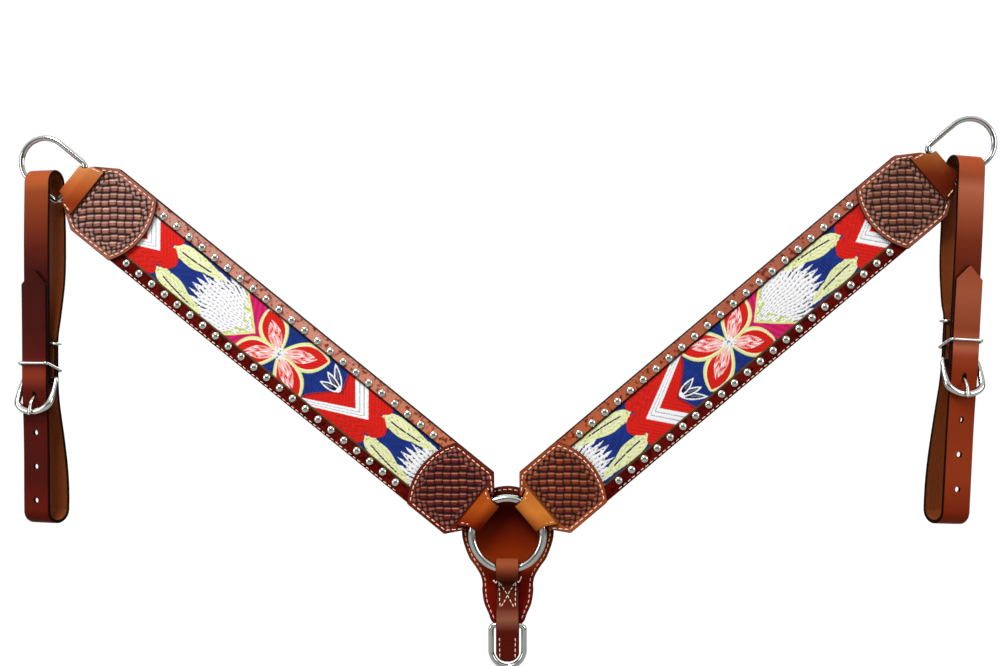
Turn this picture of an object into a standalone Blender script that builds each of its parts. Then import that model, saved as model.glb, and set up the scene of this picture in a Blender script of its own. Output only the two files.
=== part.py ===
"""Western horse breast collar, shown spread out as a V.

Metres, +Z up, +X to the viewer's right, and the decorated side faces -Y.
The origin is the centre of the centre ring. Each arm has its own frame: "along" runs
from the ring out to the shoulder, "across" runs up over the arm's width, and "depth" is world Y.
"""

import math

import bmesh
import bpy
from mathutils import Matrix, Vector

MM = 0.001
GAP = 0.35 * MM

# Centre ring
RING_RADIUS = 31 * MM
RING_WIRE = 3.5 * MM

# Arm: leather sandwich from a notched ring end to a chamfered shoulder end
ARM_HALF = 34.5 * MM
LINER = (1.5 * MM, 4.5 * MM)
FABRIC = (-0.3 * MM, 1.2 * MM)
BORDER = (-1.6 * MM, 1.2 * MM)
PATCH = (-4.4 * MM, -1.9 * MM)
WINDOW_HALF = 23 * MM
RING_END = [(40.8, 22.3), (31.3, 17.2), (30.2, 19.2), (43.0, 34.5)]
SHOULDER_END = [(467.0, 34.5), (485.0, 22.5)]
BORDER_RING_END = [(33.5, 23.0), (43.0, 34.5)]
BORDER_SHOULDER_END = [(467.0, 34.5), (484.2, 23.0)]
FABRIC_ALONG = (64 * MM, 460 * MM)
PATCH_ARC_RADIUS = 59 * MM
RING_PATCH_APEX = 96 * MM
SHOULDER_PATCH_APEX = 412.5 * MM
ARC_STEPS = 12

# Dome studs, one row on each border
STUD_COUNT = 22
STUD_FIRST = 104.5 * MM
STUD_PITCH = 14.57 * MM
STUD_ACROSS = 26.6 * MM
STUD_RADIUS = 3.6 * MM
STUD_HEIGHT = 2.4 * MM

# Folded chapes: one round the centre ring's wire, one round each dee's bar
CHAPE = 2.5 * MM
TAB_DEPTH = -5.95 * MM
LOOP_CENTRE = 28.95 * MM
LOOP_RADIUS = 7.1 * MM
LOOP_FRONT_END = 40.0 * MM
LOOP_BACK_END = 38.2 * MM
LOOP_FRONT_WIDTHS = [(20.0, 14.5), (29.0, 15.0), (40.0, 21.5)]
LOOP_BACK_HALF = 15 * MM
FOLD_AXIS = (40.3 * MM, -5.9 * MM)
DEE_BAR = 492 * MM
CHAPE_EDGE = 474.5 * MM
CHAPE_WIDTHS = [(474.5, 24.5), (485.0, 22.0), (490.5, 15.6), (498.0, 14.5)]

# Upper dees
DEE_WIRE = 2.5 * MM
DEE_HALF = 21 * MM
DEE_STRAIGHT = 31.5 * MM
DEE_CORNER = 4.5 * MM

# Tug straps, measured down from the top of their loop
TUG_HALF = 12.7 * MM
TUG = 3.2 * MM
BAR_DEPTH = -6.3 * MM
BAR_FOLD = 4.1 * MM
LAYER_DEPTH = -10.4 * MM
BILLET_DEPTH = -14.0 * MM
TAIL_DEPTH = -2.2 * MM
PINCH_DEPTH = 1.3 * MM
TAIL_LENGTH = 34 * MM
HOLE_PITCH = 29.7 * MM
HOLE_RADIUS = 2.4 * MM

# Buckle frame, tongue and wire keepers: width or depth, then drop below the bar
BUCKLE_WIRE = 2.2 * MM
FRAME_POINTS = [
    (16.0, -6.8, 0.8), (16.7, -8.5, 4.5), (16.9, -12.7, 14.0), (15.5, -16.5, 21.5),
    (9.0, -17.8, 26.5), (0.0, -17.9, 28.3),
]
FRAME_BAR_HALF = 14.4
TONGUE_EYE = (3.6 * MM, 1.1 * MM)
TONGUE_WIRE = 1.4 * MM
TONGUE_POINTS = [
    (-9.0, 2.5), (-9.6, 8.5), (-10.4, 11.5), (-13.6, 14.6), (-17.0, 17.5),
    (-20.3, 22.0), (-21.9, 28.5), (-22.3, 31.0),
]
KEEPER_WIRE = 1.25 * MM
KEEPER_HALF = 14.45 * MM
KEEPER_DEPTHS = (-17.3 * MM, 4.5 * MM)
BACK_KEEPER_DEPTHS = (-5.4 * MM, 4.5 * MM)
KEEPER_SLOPE = 0.35

# Centre drop: folded strap, ring safe and lower dee
DROP = 2.5 * MM
DROP_FOLD = (0.0, -29.5 * MM)
DROP_HINGE = (0.0, -30.2 * MM)
DROP_FOLD_RADIUS = 6.85 * MM
DROP_WIDTHS = [(-111.6, 2.6), (-110.8, 5.5), (-108.6, 8.4), (-105.5, 10.1), (-20.0, 10.1)]
SAFE = (8.6 * MM, 11.4 * MM)
SAFE_HALF_OUTLINE = [
    (0.0, 41.0), (20.5, 35.5), (35.5, 20.5), (40.5, 0.0), (35.0, -20.0), (28.5, -30.0),
    (23.9, -38.0), (22.3, -45.0), (22.5, -51.0), (20.8, -62.0), (17.0, -71.0), (12.8, -79.5),
    (0.0, -81.5),
]
LOWER_BAR = (3.0 * MM, -80.3 * MM)
LOWER_DEE_WIRE = 2.4 * MM
LOWER_DEE_HALF = 14.4 * MM
LOWER_DEE_STRAIGHT = 21.6 * MM

SIDES = {
    "left": {
        "sign": -1, "angle": math.radians(38.9), "dee_shift": -2.5 * MM,
        "tug_top": (-409.5 * MM, 319.3 * MM), "tug_length": 311.4 * MM, "yaw": math.radians(-15),
        "lean": 0.0, "skew": 4.6 * MM, "bar": 184.0 * MM, "tip": 89.0 * MM, "keeper": 169.8 * MM,
        "back_keeper": 153.2 * MM, "first_hole": 231.0 * MM, "hinge": (507.2 * MM, -23.5 * MM),
    },
    "right": {
        "sign": 1, "angle": math.radians(40.3), "dee_shift": 1.0 * MM,
        "tug_top": (395.0 * MM, 328.4 * MM), "tug_length": 317.3 * MM, "yaw": math.radians(14),
        "lean": math.radians(2.9), "skew": -4.9 * MM, "bar": 176.5 * MM, "tip": 95.5 * MM, "keeper": 158.6 * MM,
        "back_keeper": 143.3 * MM, "first_hole": 227.0 * MM, "hinge": (500.9 * MM, -20.0 * MM),
    },
}


# ---------- scene, materials and placing ----------

def clear_scene():
    for obj in list(bpy.data.objects):
        bpy.data.objects.remove(obj, do_unlink=True)


def new_collection(name):
    collection = bpy.data.collections.new(name)
    bpy.context.scene.collection.children.link(collection)
    return collection


def material(name, colour, roughness, metallic=0.0):
    made = bpy.data.materials.new(name)
    made.use_nodes = True
    shader = made.node_tree.nodes["Principled BSDF"]
    shader.inputs["Base Color"].default_value = (*colour, 1.0)
    shader.inputs["Roughness"].default_value = roughness
    shader.inputs["Metallic"].default_value = metallic
    return made


def frame(origin, x_axis, y_axis):
    """A right-handed frame from its origin and its first two axes."""
    x_axis, y_axis = Vector(x_axis), Vector(y_axis)
    turned = Matrix((x_axis, y_axis, x_axis.cross(y_axis))).transposed().to_4x4()
    return Matrix.Translation(origin) @ turned


def joint_empty(name, world, parent=None):
    """An empty on a joint's axis, which carries every piece that moves with that joint."""
    empty = bpy.data.objects.new(name, None)
    empty.empty_display_size = 0.01
    PARTS.objects.link(empty)
    hang(empty, world, parent)
    return empty


def hang(obj, world, parent):
    """Places an object in the world, under its parent."""
    if parent is None:
        obj.matrix_world = world
    else:
        obj.parent = parent
        obj.matrix_local = WORLDS[parent.name].inverted() @ world
    WORLDS[obj.name] = world.copy()


# ---------- modelling tools ----------

def curve_mesh(curve, name):
    """The closed mesh that a curve evaluates to, with its caps welded on."""
    holder = bpy.data.objects.new(name + "_curve", curve)
    PARTS.objects.link(holder)
    depsgraph = bpy.context.evaluated_depsgraph_get()
    mesh = bpy.data.meshes.new_from_object(holder.evaluated_get(depsgraph))
    bpy.data.objects.remove(holder, do_unlink=True)
    bpy.data.curves.remove(curve)
    bm = bmesh.new()
    bm.from_mesh(mesh)
    bmesh.ops.remove_doubles(bm, verts=bm.verts, dist=0.01 * MM)
    bmesh.ops.recalc_face_normals(bm, faces=bm.faces)
    bm.to_mesh(mesh)
    bm.free()
    mesh.name = name
    return mesh


def add_object(name, mesh, world, parent, finish):
    obj = bpy.data.objects.new(name, mesh)
    mesh.materials.clear()
    mesh.materials.append(finish)
    PARTS.objects.link(obj)
    hang(obj, world, parent)
    return obj


def add_cutter(name, mesh, world, parent):
    obj = bpy.data.objects.new(name, mesh)
    obj.hide_render = True
    obj.display_type = "WIRE"
    CUTTERS.objects.link(obj)
    hang(obj, world, parent)
    return obj


def boolean(obj, tool, operation):
    modifier = obj.modifiers.new(operation.lower(), "BOOLEAN")
    modifier.operation = operation
    modifier.solver = "EXACT"
    modifier.object = tool


def outline_mesh(name, outline, half_depth, smooth=False):
    """A flat outline in XY, thickened to half_depth on each side of it."""
    curve = bpy.data.curves.new(name, "CURVE")
    curve.dimensions = "2D"
    curve.fill_mode = "BOTH"
    curve.extrude = half_depth
    curve.resolution_u = 4
    if smooth:
        spline = curve.splines.new("BEZIER")
        spline.bezier_points.add(len(outline) - 1)
        for point, place in zip(spline.bezier_points, outline):
            point.co = (*place, 0.0)
            point.handle_left_type = point.handle_right_type = "AUTO"
    else:
        spline = curve.splines.new("POLY")
        spline.points.add(len(outline) - 1)
        for point, place in zip(spline.points, outline):
            point.co = (*place, 0.0, 1.0)
    spline.use_cyclic_u = True
    return curve_mesh(curve, name)


def tube_mesh(name, path, radius, closed):
    """A round wire along a path, as one closed mesh."""
    curve = bpy.data.curves.new(name, "CURVE")
    curve.dimensions = "3D"
    curve.bevel_depth = radius
    curve.bevel_resolution = 2
    curve.use_fill_caps = not closed
    spline = curve.splines.new("POLY")
    spline.points.add(len(path) - 1)
    for point, place in zip(spline.points, path):
        point.co = (*place, 1.0)
    spline.use_cyclic_u = closed
    return curve_mesh(curve, name)


def arc(centre, radius, start, end, steps, stretch=1.0):
    """Points on an arc, angles in degrees; stretch makes it an ellipse along Y."""
    points = []
    for step in range(steps + 1):
        angle = math.radians(start + (end - start) * step / steps)
        points.append(Vector((
            centre[0] + radius * math.cos(angle),
            centre[1] + radius * stretch * math.sin(angle),
        )))
    return points


def smooth(points, steps=4):
    """A smooth line through every point."""
    points = [Vector(point) for point in points]
    ends = [points[0]] + points + [points[-1]]
    line = []
    for before, start, end, after in zip(ends, ends[1:], ends[2:], ends[3:]):
        for step in range(steps):
            t = step / steps
            line.append(0.5 * (
                2 * start
                + (end - before) * t
                + (2 * before - 5 * start + 4 * end - after) * t * t
                + (3 * start - before - 3 * end + after) * t * t * t
            ))
    return line + [points[-1]]


def tidy_path(points):
    """Drops points that repeat the one before."""
    kept = [points[0]]
    for point in points[1:]:
        if (point - kept[-1]).length > 0.05 * MM:
            kept.append(point)
    return kept


def band_outline(path, thickness):
    """The outline of a strap seen on edge, from its centre line."""
    path = tidy_path(path)
    one_side, other_side = [], []
    for index, point in enumerate(path):
        before = path[max(index - 1, 0)]
        after = path[min(index + 1, len(path) - 1)]
        along = (after - before).normalized()
        aside = Vector((-along.y, along.x)) * thickness / 2
        one_side.append(point + aside)
        other_side.append(point - aside)
    return one_side + other_side[::-1]


def mirrored(half):
    """A closed outline from its upper half, given in millimetres."""
    upper = [(x * MM, y * MM) for x, y in half]
    return upper + [(x, -y) for x, y in reversed(upper)]


def interpolate(table, value):
    """Straight-line reading of a table given in millimetres."""
    value /= MM
    if value <= table[0][0]:
        return table[0][1] * MM
    for (x0, y0), (x1, y1) in zip(table, table[1:]):
        if value <= x1:
            return (y0 + (y1 - y0) * (value - x0) / (x1 - x0)) * MM
    return table[-1][1] * MM


def rounded_loop(half_x, half_y, corner):
    """A rectangle with round corners, as a closed wire's centre line in XY."""
    points = []
    for x_sign, y_sign, start in ((1, 1, 0), (-1, 1, 90), (-1, -1, 180), (1, -1, 270)):
        centre = (x_sign * (half_x - corner), y_sign * (half_y - corner))
        points += arc(centre, corner, start, start + 90, 3)
    return [(p.x, p.y, 0.0) for p in points]


def dee_loop(half, straight, corner, steps=12):
    """A dee's centre line: its bar lies on Y and its round end points along +X."""
    points = arc((corner, -half + corner), corner, 180, 270, 3)
    points += arc((straight, 0), half, -90, 90, steps)
    points += arc((corner, half - corner), corner, 90, 180, 3)
    return [(p.x, p.y, 0.0) for p in points]


# ---------- arms ----------

def arm_axes(side):
    along = Vector((side["sign"] * math.cos(side["angle"]), 0, math.sin(side["angle"])))
    across = Vector((-side["sign"] * math.sin(side["angle"]), 0, math.cos(side["angle"])))
    return along, across


def flat_piece(name, outline, depths, side, parent, finish):
    """A flat leather or cloth piece of the arm, between two depths."""
    along, across = arm_axes(side)
    middle = (depths[0] + depths[1]) / 2
    world = frame((0, middle, 0), along, across)
    mesh = outline_mesh(name, outline, (depths[1] - depths[0]) / 2)
    return add_object(name, mesh, world, parent, finish)


def patch_arc(apex, bulge):
    """The patch's curved edge from the arm's upper edge to its lower; bulge is +1 or -1 along."""
    reach = math.degrees(math.asin(ARM_HALF / PATCH_ARC_RADIUS))
    centre = (apex - bulge * PATCH_ARC_RADIUS, 0)
    middle = 0 if bulge > 0 else 180
    return [
        tuple(point)
        for point in arc(centre, PATCH_ARC_RADIUS, middle + bulge * reach, middle - bulge * reach, ARC_STEPS)
    ]


def add_patches(name, side, parent):
    upper = [(x * MM, y * MM) for x, y in RING_END]
    lower = [(x, -y) for x, y in reversed(upper)]
    outline = upper + patch_arc(RING_PATCH_APEX, 1) + lower
    flat_piece(name + "_ring_patch", outline, PATCH, side, parent, PATCH_LEATHER)
    upper = [(x * MM, y * MM) for x, y in [(485.7, 22.0)] + SHOULDER_END[::-1]]
    lower = [(x, -y) for x, y in reversed(upper)]
    outline = upper + patch_arc(SHOULDER_PATCH_APEX, -1) + lower
    flat_piece(name + "_shoulder_patch", outline, PATCH, side, parent, PATCH_LEATHER)


def stud_row_mesh(name, across):
    """One row of dome studs, to be joined to its border."""
    bm = bmesh.new()
    for index in range(STUD_COUNT):
        dome = bmesh.ops.create_uvsphere(bm, u_segments=8, v_segments=6, radius=STUD_RADIUS)
        for vertex in dome["verts"]:
            vertex.co.z *= STUD_HEIGHT / STUD_RADIUS
            vertex.co.x += STUD_FIRST + index * STUD_PITCH
            vertex.co.y += across
    mesh = bpy.data.meshes.new(name)
    bm.to_mesh(mesh)
    bm.free()
    return mesh


def add_borders(name, side, parent):
    """The two leather border strips, each with its row of studs joined on."""
    along, across = arm_axes(side)
    outer = [(x * MM, y * MM) for x, y in BORDER_RING_END + BORDER_SHOULDER_END]
    for label, sign in (("upper", 1), ("lower", -1)):
        outline = [(x, sign * y) for x, y in outer]
        border = flat_piece(f"{name}_{label}_border", outline, BORDER, side, parent, BORDER_LEATHER)
        row = stud_row_mesh(f"{name}_{label}_studs", sign * STUD_ACROSS)
        world = frame((0, BORDER[0], 0), along, across)
        boolean(border, add_cutter(f"{name}_{label}_stud_row", row, world, parent), "UNION")


def profile_piece(name, path, side, parent, half_width):
    """A chape that bends in the along-depth plane; half_width(along, depth) gives its width."""
    along, _ = arm_axes(side)
    mesh = outline_mesh(name, band_outline(path, CHAPE), 1.0)
    for vertex in mesh.vertices:
        vertex.co.z *= half_width(vertex.co.x, vertex.co.y)
    return add_object(name, mesh, frame((0, 0, 0), along, (0, 1, 0)), parent, CHAPE_LEATHER)


def add_ring_chape(name, side, parent):
    """Folded round the centre ring's wire: a wide front end and a narrow back end."""
    front = [(LOOP_FRONT_END, TAB_DEPTH), (36.5 * MM, TAB_DEPTH - 0.25 * MM), (32.8 * MM, -6.4 * MM)]
    back = [(33.4 * MM, 5.3 * MM), (35.6 * MM, 3.6 * MM), (LOOP_BACK_END, 3.0 * MM)]
    fold = arc((LOOP_CENTRE, 0), LOOP_RADIUS, 280, 58, 18)
    path = [Vector(point) for point in front] + fold + [Vector(point) for point in back]

    def half_width(along, depth):
        if depth > 0 and along > LOOP_CENTRE:
            return LOOP_BACK_HALF
        return interpolate(LOOP_FRONT_WIDTHS, along)

    profile_piece(name + "_ring_chape", path, side, parent, half_width)


def add_shoulder_chape(name, side, parent):
    """Folded round the dee's bar, its front end sewn on the patch."""
    fold_radius = DEE_WIRE + 0.3 * MM + CHAPE / 2
    path = [Vector((CHAPE_EDGE, TAB_DEPTH)), Vector((486.3 * MM, TAB_DEPTH))]
    path += arc((DEE_BAR, 0), fold_radius, -76, 98, 12)
    path += [Vector((485.5 * MM, 3.2 * MM))]
    profile_piece(
        name + "_shoulder_chape", path, side, parent, lambda along, depth: interpolate(CHAPE_WIDTHS, along)
    )


def add_arm(name, side, parent):
    outline = mirrored(RING_END + SHOULDER_END)
    flat_piece(name + "_arm_liner", outline, LINER, side, parent, LINER_LEATHER)
    near, far = FABRIC_ALONG
    half = WINDOW_HALF - GAP
    outline = [(near, half), (far, half), (far, -half), (near, -half)]
    flat_piece(name + "_fabric_panel", outline, FABRIC, side, parent, EMBROIDERY)
    add_borders(name, side, parent)
    add_patches(name, side, parent)
    add_shoulder_chape(name, side, parent)


def add_dee(name, side, parent):
    along, across = arm_axes(side)
    world = frame(DEE_BAR * along + side["dee_shift"] * across, along, across)
    mesh = tube_mesh(name + "_dee", dee_loop(DEE_HALF, DEE_STRAIGHT, DEE_CORNER), DEE_WIRE, True)
    add_object(name + "_dee", mesh, world, parent, NICKEL)


# ---------- tug straps ----------

def tug_axes(side):
    """Depth, up and width directions of a tug strap."""
    depth = Vector((-math.sin(side["yaw"]), math.cos(side["yaw"]), 0))
    width = Vector((math.cos(side["yaw"]), math.sin(side["yaw"]), 0))
    up = Vector((0, 0, 1)) * math.cos(side["lean"]) + width * math.sin(side["lean"])
    return depth, up, depth.cross(up)


def tug_frame(side, depth=0.0, drop=0.0):
    """A frame on the strap: X is depth, Y is up, Z is across its width."""
    back, up, _ = tug_axes(side)
    top = Vector((side["tug_top"][0], 0, side["tug_top"][1]))
    return frame(top + back * depth - up * drop, back, up)


def downward(points):
    """Depth and drop below the top, as points with up positive."""
    return [(depth, -drop) for depth, drop in points]


def tug_path(side):
    """The strap's centre line: folded tail, bar, front, top, back, bottom and billet."""
    bar, tip, length = side["bar"], side["tip"], side["tug_length"]
    path = [Vector((TAIL_DEPTH, -bar + TAIL_LENGTH)), Vector((TAIL_DEPTH, -bar + TAIL_LENGTH / 2))]
    path += arc((BAR_DEPTH, -bar), BAR_FOLD, 0, -180, 10)
    path += smooth(downward([
        (LAYER_DEPTH, bar - 20 * MM), (-10.8 * MM, 130 * MM), (-11.3 * MM, 95 * MM),
        (-11.5 * MM, 60 * MM), (-11.0 * MM, 30 * MM), (-10.62 * MM, 14 * MM),
    ]), 2)
    path += arc((0, -12.2 * MM), 10.6 * MM, 178, 0, 16)
    path += smooth(downward([
        (10.75 * MM, 15 * MM), (11.6 * MM, 30 * MM), (12.8 * MM, 60 * MM), (12.0 * MM, 95 * MM),
        (6.4 * MM, 126 * MM), (PINCH_DEPTH + 0.9 * MM, bar - 40 * MM), (PINCH_DEPTH, bar - 32 * MM),
        (PINCH_DEPTH, bar - 20 * MM), (PINCH_DEPTH, bar - 8 * MM), (PINCH_DEPTH + 0.3 * MM, bar + 4 * MM),
        (3.0 * MM, bar + 18 * MM), (8.0 * MM, bar + 50 * MM), (10.9 * MM, length - 30 * MM),
    ]), 3)
    path += arc((0, -length + 12.5 * MM), 10.9 * MM, 0, -180, 12)
    path += smooth(downward([
        (-11.1 * MM, length - 32 * MM), (-11.4 * MM, bar + 60 * MM), (-12.5 * MM, bar + 29 * MM),
        (-13.8 * MM, bar + 10 * MM), (BILLET_DEPTH, bar), (BILLET_DEPTH, bar - 20 * MM),
        (-14.4 * MM, 130 * MM), (-14.9 * MM, tip + 3 * MM), (-15.0 * MM, tip),
    ]), 2)
    return path


def box_mesh(name, size):
    bm = bmesh.new()
    bmesh.ops.create_cube(bm, size=1.0)
    bmesh.ops.scale(bm, verts=bm.verts, vec=size)
    mesh = bpy.data.meshes.new(name)
    bm.to_mesh(mesh)
    bm.free()
    return mesh


def punch_mesh(name, radius, length):
    """A cutter for a punched hole, along X."""
    bm = bmesh.new()
    bmesh.ops.create_cone(bm, cap_ends=True, segments=10, radius1=radius, radius2=radius, depth=length)
    bmesh.ops.rotate(bm, verts=bm.verts, cent=(0, 0, 0), matrix=Matrix.Rotation(math.pi / 2, 3, "Y"))
    mesh = bpy.data.meshes.new(name)
    bm.to_mesh(mesh)
    bm.free()
    return mesh


def cut(strap, label, mesh, world, parent):
    boolean(strap, add_cutter(label, mesh, world, parent), "DIFFERENCE")


def trim_tip(name, strap, side, parent):
    """Cuts the billet's free end to a point, without touching the layer under it."""
    shoulder, above, wide = -12.7 * MM, 2 * MM, 15 * MM
    outline = [(wide, above), (wide, shoulder), (0.0, -0.2 * MM), (-wide, shoulder), (-wide, above)]
    back, up, width = tug_axes(side)
    top = Vector((side["tug_top"][0], 0, side["tug_top"][1]))
    world = frame(top + back * -15.3 * MM - up * side["tip"], width, up)
    cut(strap, name + "_tip_cut", outline_mesh(name + "_tip_cut", outline, 2.2 * MM), world, parent)


def punch_holes(name, strap, side, parent):
    """The tongue's hole, the spare holes below it, and the slot for the tongue's eye."""
    bar = side["bar"]
    label = name + "_tongue_hole"
    cut(strap, label, box_mesh(label, (5 * MM, 8.6 * MM, 3.8 * MM)),
        tug_frame(side, BILLET_DEPTH, bar + 14.9 * MM), parent)
    for index in range(3):
        label = f"{name}_spare_hole_{index + 1}"
        drop = side["first_hole"] + index * HOLE_PITCH
        cut(strap, label, punch_mesh(label, HOLE_RADIUS, 8 * MM), tug_frame(side, -11.5 * MM, drop), parent)
    label = name + "_eye_slot"
    near, far = -12.2 * MM, -0.45 * MM
    cut(strap, label, box_mesh(label, (far - near, 11.3 * MM, 4 * MM)),
        tug_frame(side, (near + far) / 2, bar + 0.45 * MM), parent)


def skew_lower_loop(mesh, side):
    """The back of the lower loop hangs a little nearer the other side than its front."""
    start = side["bar"] + 20 * MM
    reach = side["tug_length"] - 30 * MM - start
    for vertex in mesh.vertices:
        down = min(max((-vertex.co.y - start) / reach, 0.0), 1.0)
        back = min(max((vertex.co.x + 11 * MM) / (22 * MM), 0.0), 1.0)
        vertex.co.z += side["skew"] * down * down * (3 - 2 * down) * back


def add_tug_strap(name, side, parent):
    mesh = outline_mesh(name + "_tug_strap", band_outline(tug_path(side), TUG), TUG_HALF)
    skew_lower_loop(mesh, side)
    strap = add_object(name + "_tug_strap", mesh, tug_frame(side), parent, STRAP_LEATHER)
    trim_tip(name, strap, side, parent)
    punch_holes(name, strap, side, parent)


def add_buckle_frame(name, side, parent):
    """A horseshoe frame: the bar on top, and the curve in front of the billet at the bottom."""
    half = [(FRAME_BAR_HALF, BAR_DEPTH / MM, 0.0)] + FRAME_POINTS
    right = [(x * MM, -drop * MM, -depth * MM) for x, depth, drop in half]
    loop = right + [(-x, y, z) for x, y, z in reversed(right[:-1])]
    curved = smooth(loop, 3)
    path = [tuple(point) for point in curved]
    back, up, width = tug_axes(side)
    top = Vector((side["tug_top"][0], 0, side["tug_top"][1]))
    world = frame(top - up * side["bar"], width, up)
    mesh = tube_mesh(name + "_buckle_frame", path, BUCKLE_WIRE, True)
    add_object(name + "_buckle_frame", mesh, world, parent, NICKEL)


def add_tongue(name, side, parent):
    """A wire tongue: its eye wraps the bar and its shaft passes through the billet."""
    label = name + "_buckle_tongue"
    shaft = smooth([(depth * MM, -drop * MM) for depth, drop in TONGUE_POINTS], 2)
    world = tug_frame(side, 0.0, side["bar"])
    mesh = tube_mesh(label, [(p.x, p.y, 0.0) for p in shaft], TONGUE_WIRE, False)
    tongue = add_object(label, mesh, world, parent, NICKEL)
    eye = [(p.x, p.y, 0.0) for p in arc((BAR_DEPTH, 0), TONGUE_EYE[0], 0, 360, 16)[:-1]]
    ring = add_cutter(label + "_eye", tube_mesh(label + "_eye", eye, TONGUE_EYE[1], True), world, parent)
    boolean(tongue, ring, "UNION")


def add_keeper(label, side, parent, drop, depths, slope):
    """A wire keeper round the layers between two depths; slope lowers its back."""
    front, back = depths
    path = [
        (x, -(y - (front - back) / 2) * slope, y)
        for x, y, _ in rounded_loop(KEEPER_HALF, (back - front) / 2, 2.4 * MM)
    ]
    path = [(x, rise, -y) for x, rise, y in path]
    rear, up, width = tug_axes(side)
    top = Vector((side["tug_top"][0], 0, side["tug_top"][1]))
    world = frame(top + rear * (front + back) / 2 - up * drop, width, up)
    add_object(label, tube_mesh(label, path, KEEPER_WIRE, True), world, parent, NICKEL)


# ---------- centre ----------

def add_centre_ring():
    bpy.ops.mesh.primitive_torus_add(
        major_radius=RING_RADIUS, minor_radius=RING_WIRE, major_segments=44, minor_segments=10
    )
    ring = bpy.context.object
    ring.name = ring.data.name = "center_ring"
    for collection in list(ring.users_collection):
        collection.objects.unlink(ring)
    PARTS.objects.link(ring)
    ring.data.materials.append(NICKEL)
    ring.rotation_euler = (math.pi / 2, 0, 0)
    ring.data.shade_smooth()


def add_drop_strap(parent):
    """Folded over the ring's lower wire, sewn above the dee's bar and again below it."""
    fold = DROP_FOLD_RADIUS / MM
    front = smooth([(x * MM, z * MM) for x, z in [
        (1.6, -111.6), (1.6, -110.8), (1.6, -108.6), (1.6, -105.5), (1.6, -96.0), (0.2, -87.5),
        (-0.95, -80.3), (0.6, -72.0), (3.7, -66.0), (4.2, -60.0), (4.2, -48.0), (1.5, -43.5),
        (-3.4, -39.0), (-6.2, -34.0),
    ]], 2)
    back = smooth([(x * MM, z * MM) for x, z in [
        (fold + 0.05, -36.0), (7.0, -46.0), (7.0, -64.0), (6.95, -80.3), (6.0, -89.0), (4.4, -97.0),
        (4.4, -105.5), (4.4, -108.6), (4.4, -110.8), (4.4, -111.6),
    ]], 2)
    path = front + arc(DROP_FOLD, DROP_FOLD_RADIUS, 180, 0, 12) + back
    mesh = outline_mesh("drop_strap", band_outline(path, DROP), 1.0)
    for vertex in mesh.vertices:
        vertex.co.z *= interpolate(DROP_WIDTHS, vertex.co.y)
    world = frame((0, 0, 0), (0, 1, 0), (0, 0, 1))
    add_object("drop_strap", mesh, world, parent, STRAP_LEATHER)


def add_ring_safe(parent):
    """The bell-shaped leather that lies behind the ring and runs down to the lower dee."""
    right = [(x * MM, z * MM) for x, z in SAFE_HALF_OUTLINE]
    left = [(-x, z) for x, z in reversed(right[1:-1])]
    mesh = outline_mesh("ring_safe", right + left, (SAFE[1] - SAFE[0]) / 2, smooth=True)
    world = frame((0, (SAFE[0] + SAFE[1]) / 2, 0), (1, 0, 0), (0, 0, 1))
    add_object("ring_safe", mesh, world, parent, STRAP_LEATHER)


def add_bottom_dee(parent):
    path = dee_loop(LOWER_DEE_HALF, LOWER_DEE_STRAIGHT, 3.5 * MM)
    mesh = tube_mesh("bottom_dee", path, LOWER_DEE_WIRE, True)
    world = frame((0, LOWER_BAR[0], LOWER_BAR[1]), (0, 0, -1), (1, 0, 0))
    add_object("bottom_dee", mesh, world, parent, NICKEL)


def build_centre():
    add_centre_ring()
    hinge = joint_empty("drop_hinge", Matrix.Translation((0, DROP_HINGE[0], DROP_HINGE[1])))
    add_drop_strap(hinge)
    add_ring_safe(hinge)
    bar = joint_empty("bottom_dee_hinge", Matrix.Translation((0, LOWER_BAR[0], LOWER_BAR[1])), hinge)
    add_bottom_dee(bar)


def build_side(name, side):
    along, across = arm_axes(side)
    swing = joint_empty(name + "_ring_swing", frame((0, 0, 0), along, across))
    add_ring_chape(name, side, swing)
    fold_at = along * FOLD_AXIS[0] + Vector((0, FOLD_AXIS[1], 0))
    fold = joint_empty(name + "_arm_fold", frame(fold_at, along, across), swing)
    add_arm(name, side, fold)
    bar = joint_empty(name + "_dee_hinge", frame(along * DEE_BAR, along, across), fold)
    add_dee(name, side, bar)
    wire_along, wire_across = side["hinge"]
    wire = along * wire_along + across * wire_across
    tug = joint_empty(name + "_tug_hinge", frame(wire, along, across), bar)
    add_tug_strap(name, side, tug)
    at_bar = tug_frame(side, BAR_DEPTH, side["bar"])
    buckle = joint_empty(name + "_buckle_hinge", at_bar, tug)
    add_buckle_frame(name, side, buckle)
    add_tongue(name, side, joint_empty(name + "_tongue_hinge", at_bar, buckle))
    for label, drop, depths, slope in (
        ("keeper", side["keeper"], KEEPER_DEPTHS, KEEPER_SLOPE),
        ("back_keeper", side["back_keeper"], BACK_KEEPER_DEPTHS, 0.0),
    ):
        slide = joint_empty(f"{name}_{label}_slide", tug_frame(side, 0.0, drop), tug)
        add_keeper(f"{name}_{label}", side, slide, drop, depths, slope)


clear_scene()
WORLDS = {}
PARTS = new_collection("breast_collar")
CUTTERS = new_collection("cutters")
NICKEL = material("nickel", (0.72, 0.72, 0.70), 0.22, 1.0)
STRAP_LEATHER = material("strap_leather", (0.20, 0.045, 0.015), 0.38)
LINER_LEATHER = material("liner_leather", (0.10, 0.035, 0.018), 0.60)
BORDER_LEATHER = material("border_leather", (0.26, 0.075, 0.035), 0.42)
PATCH_LEATHER = material("patch_leather", (0.22, 0.08, 0.05), 0.50)
CHAPE_LEATHER = material("chape_leather", (0.42, 0.15, 0.035), 0.35)
EMBROIDERY = material("embroidery", (0.03, 0.06, 0.30), 0.85)
build_centre()
for side_name, side_values in SIDES.items():
    build_side(side_name, side_values)
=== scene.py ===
import math

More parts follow.
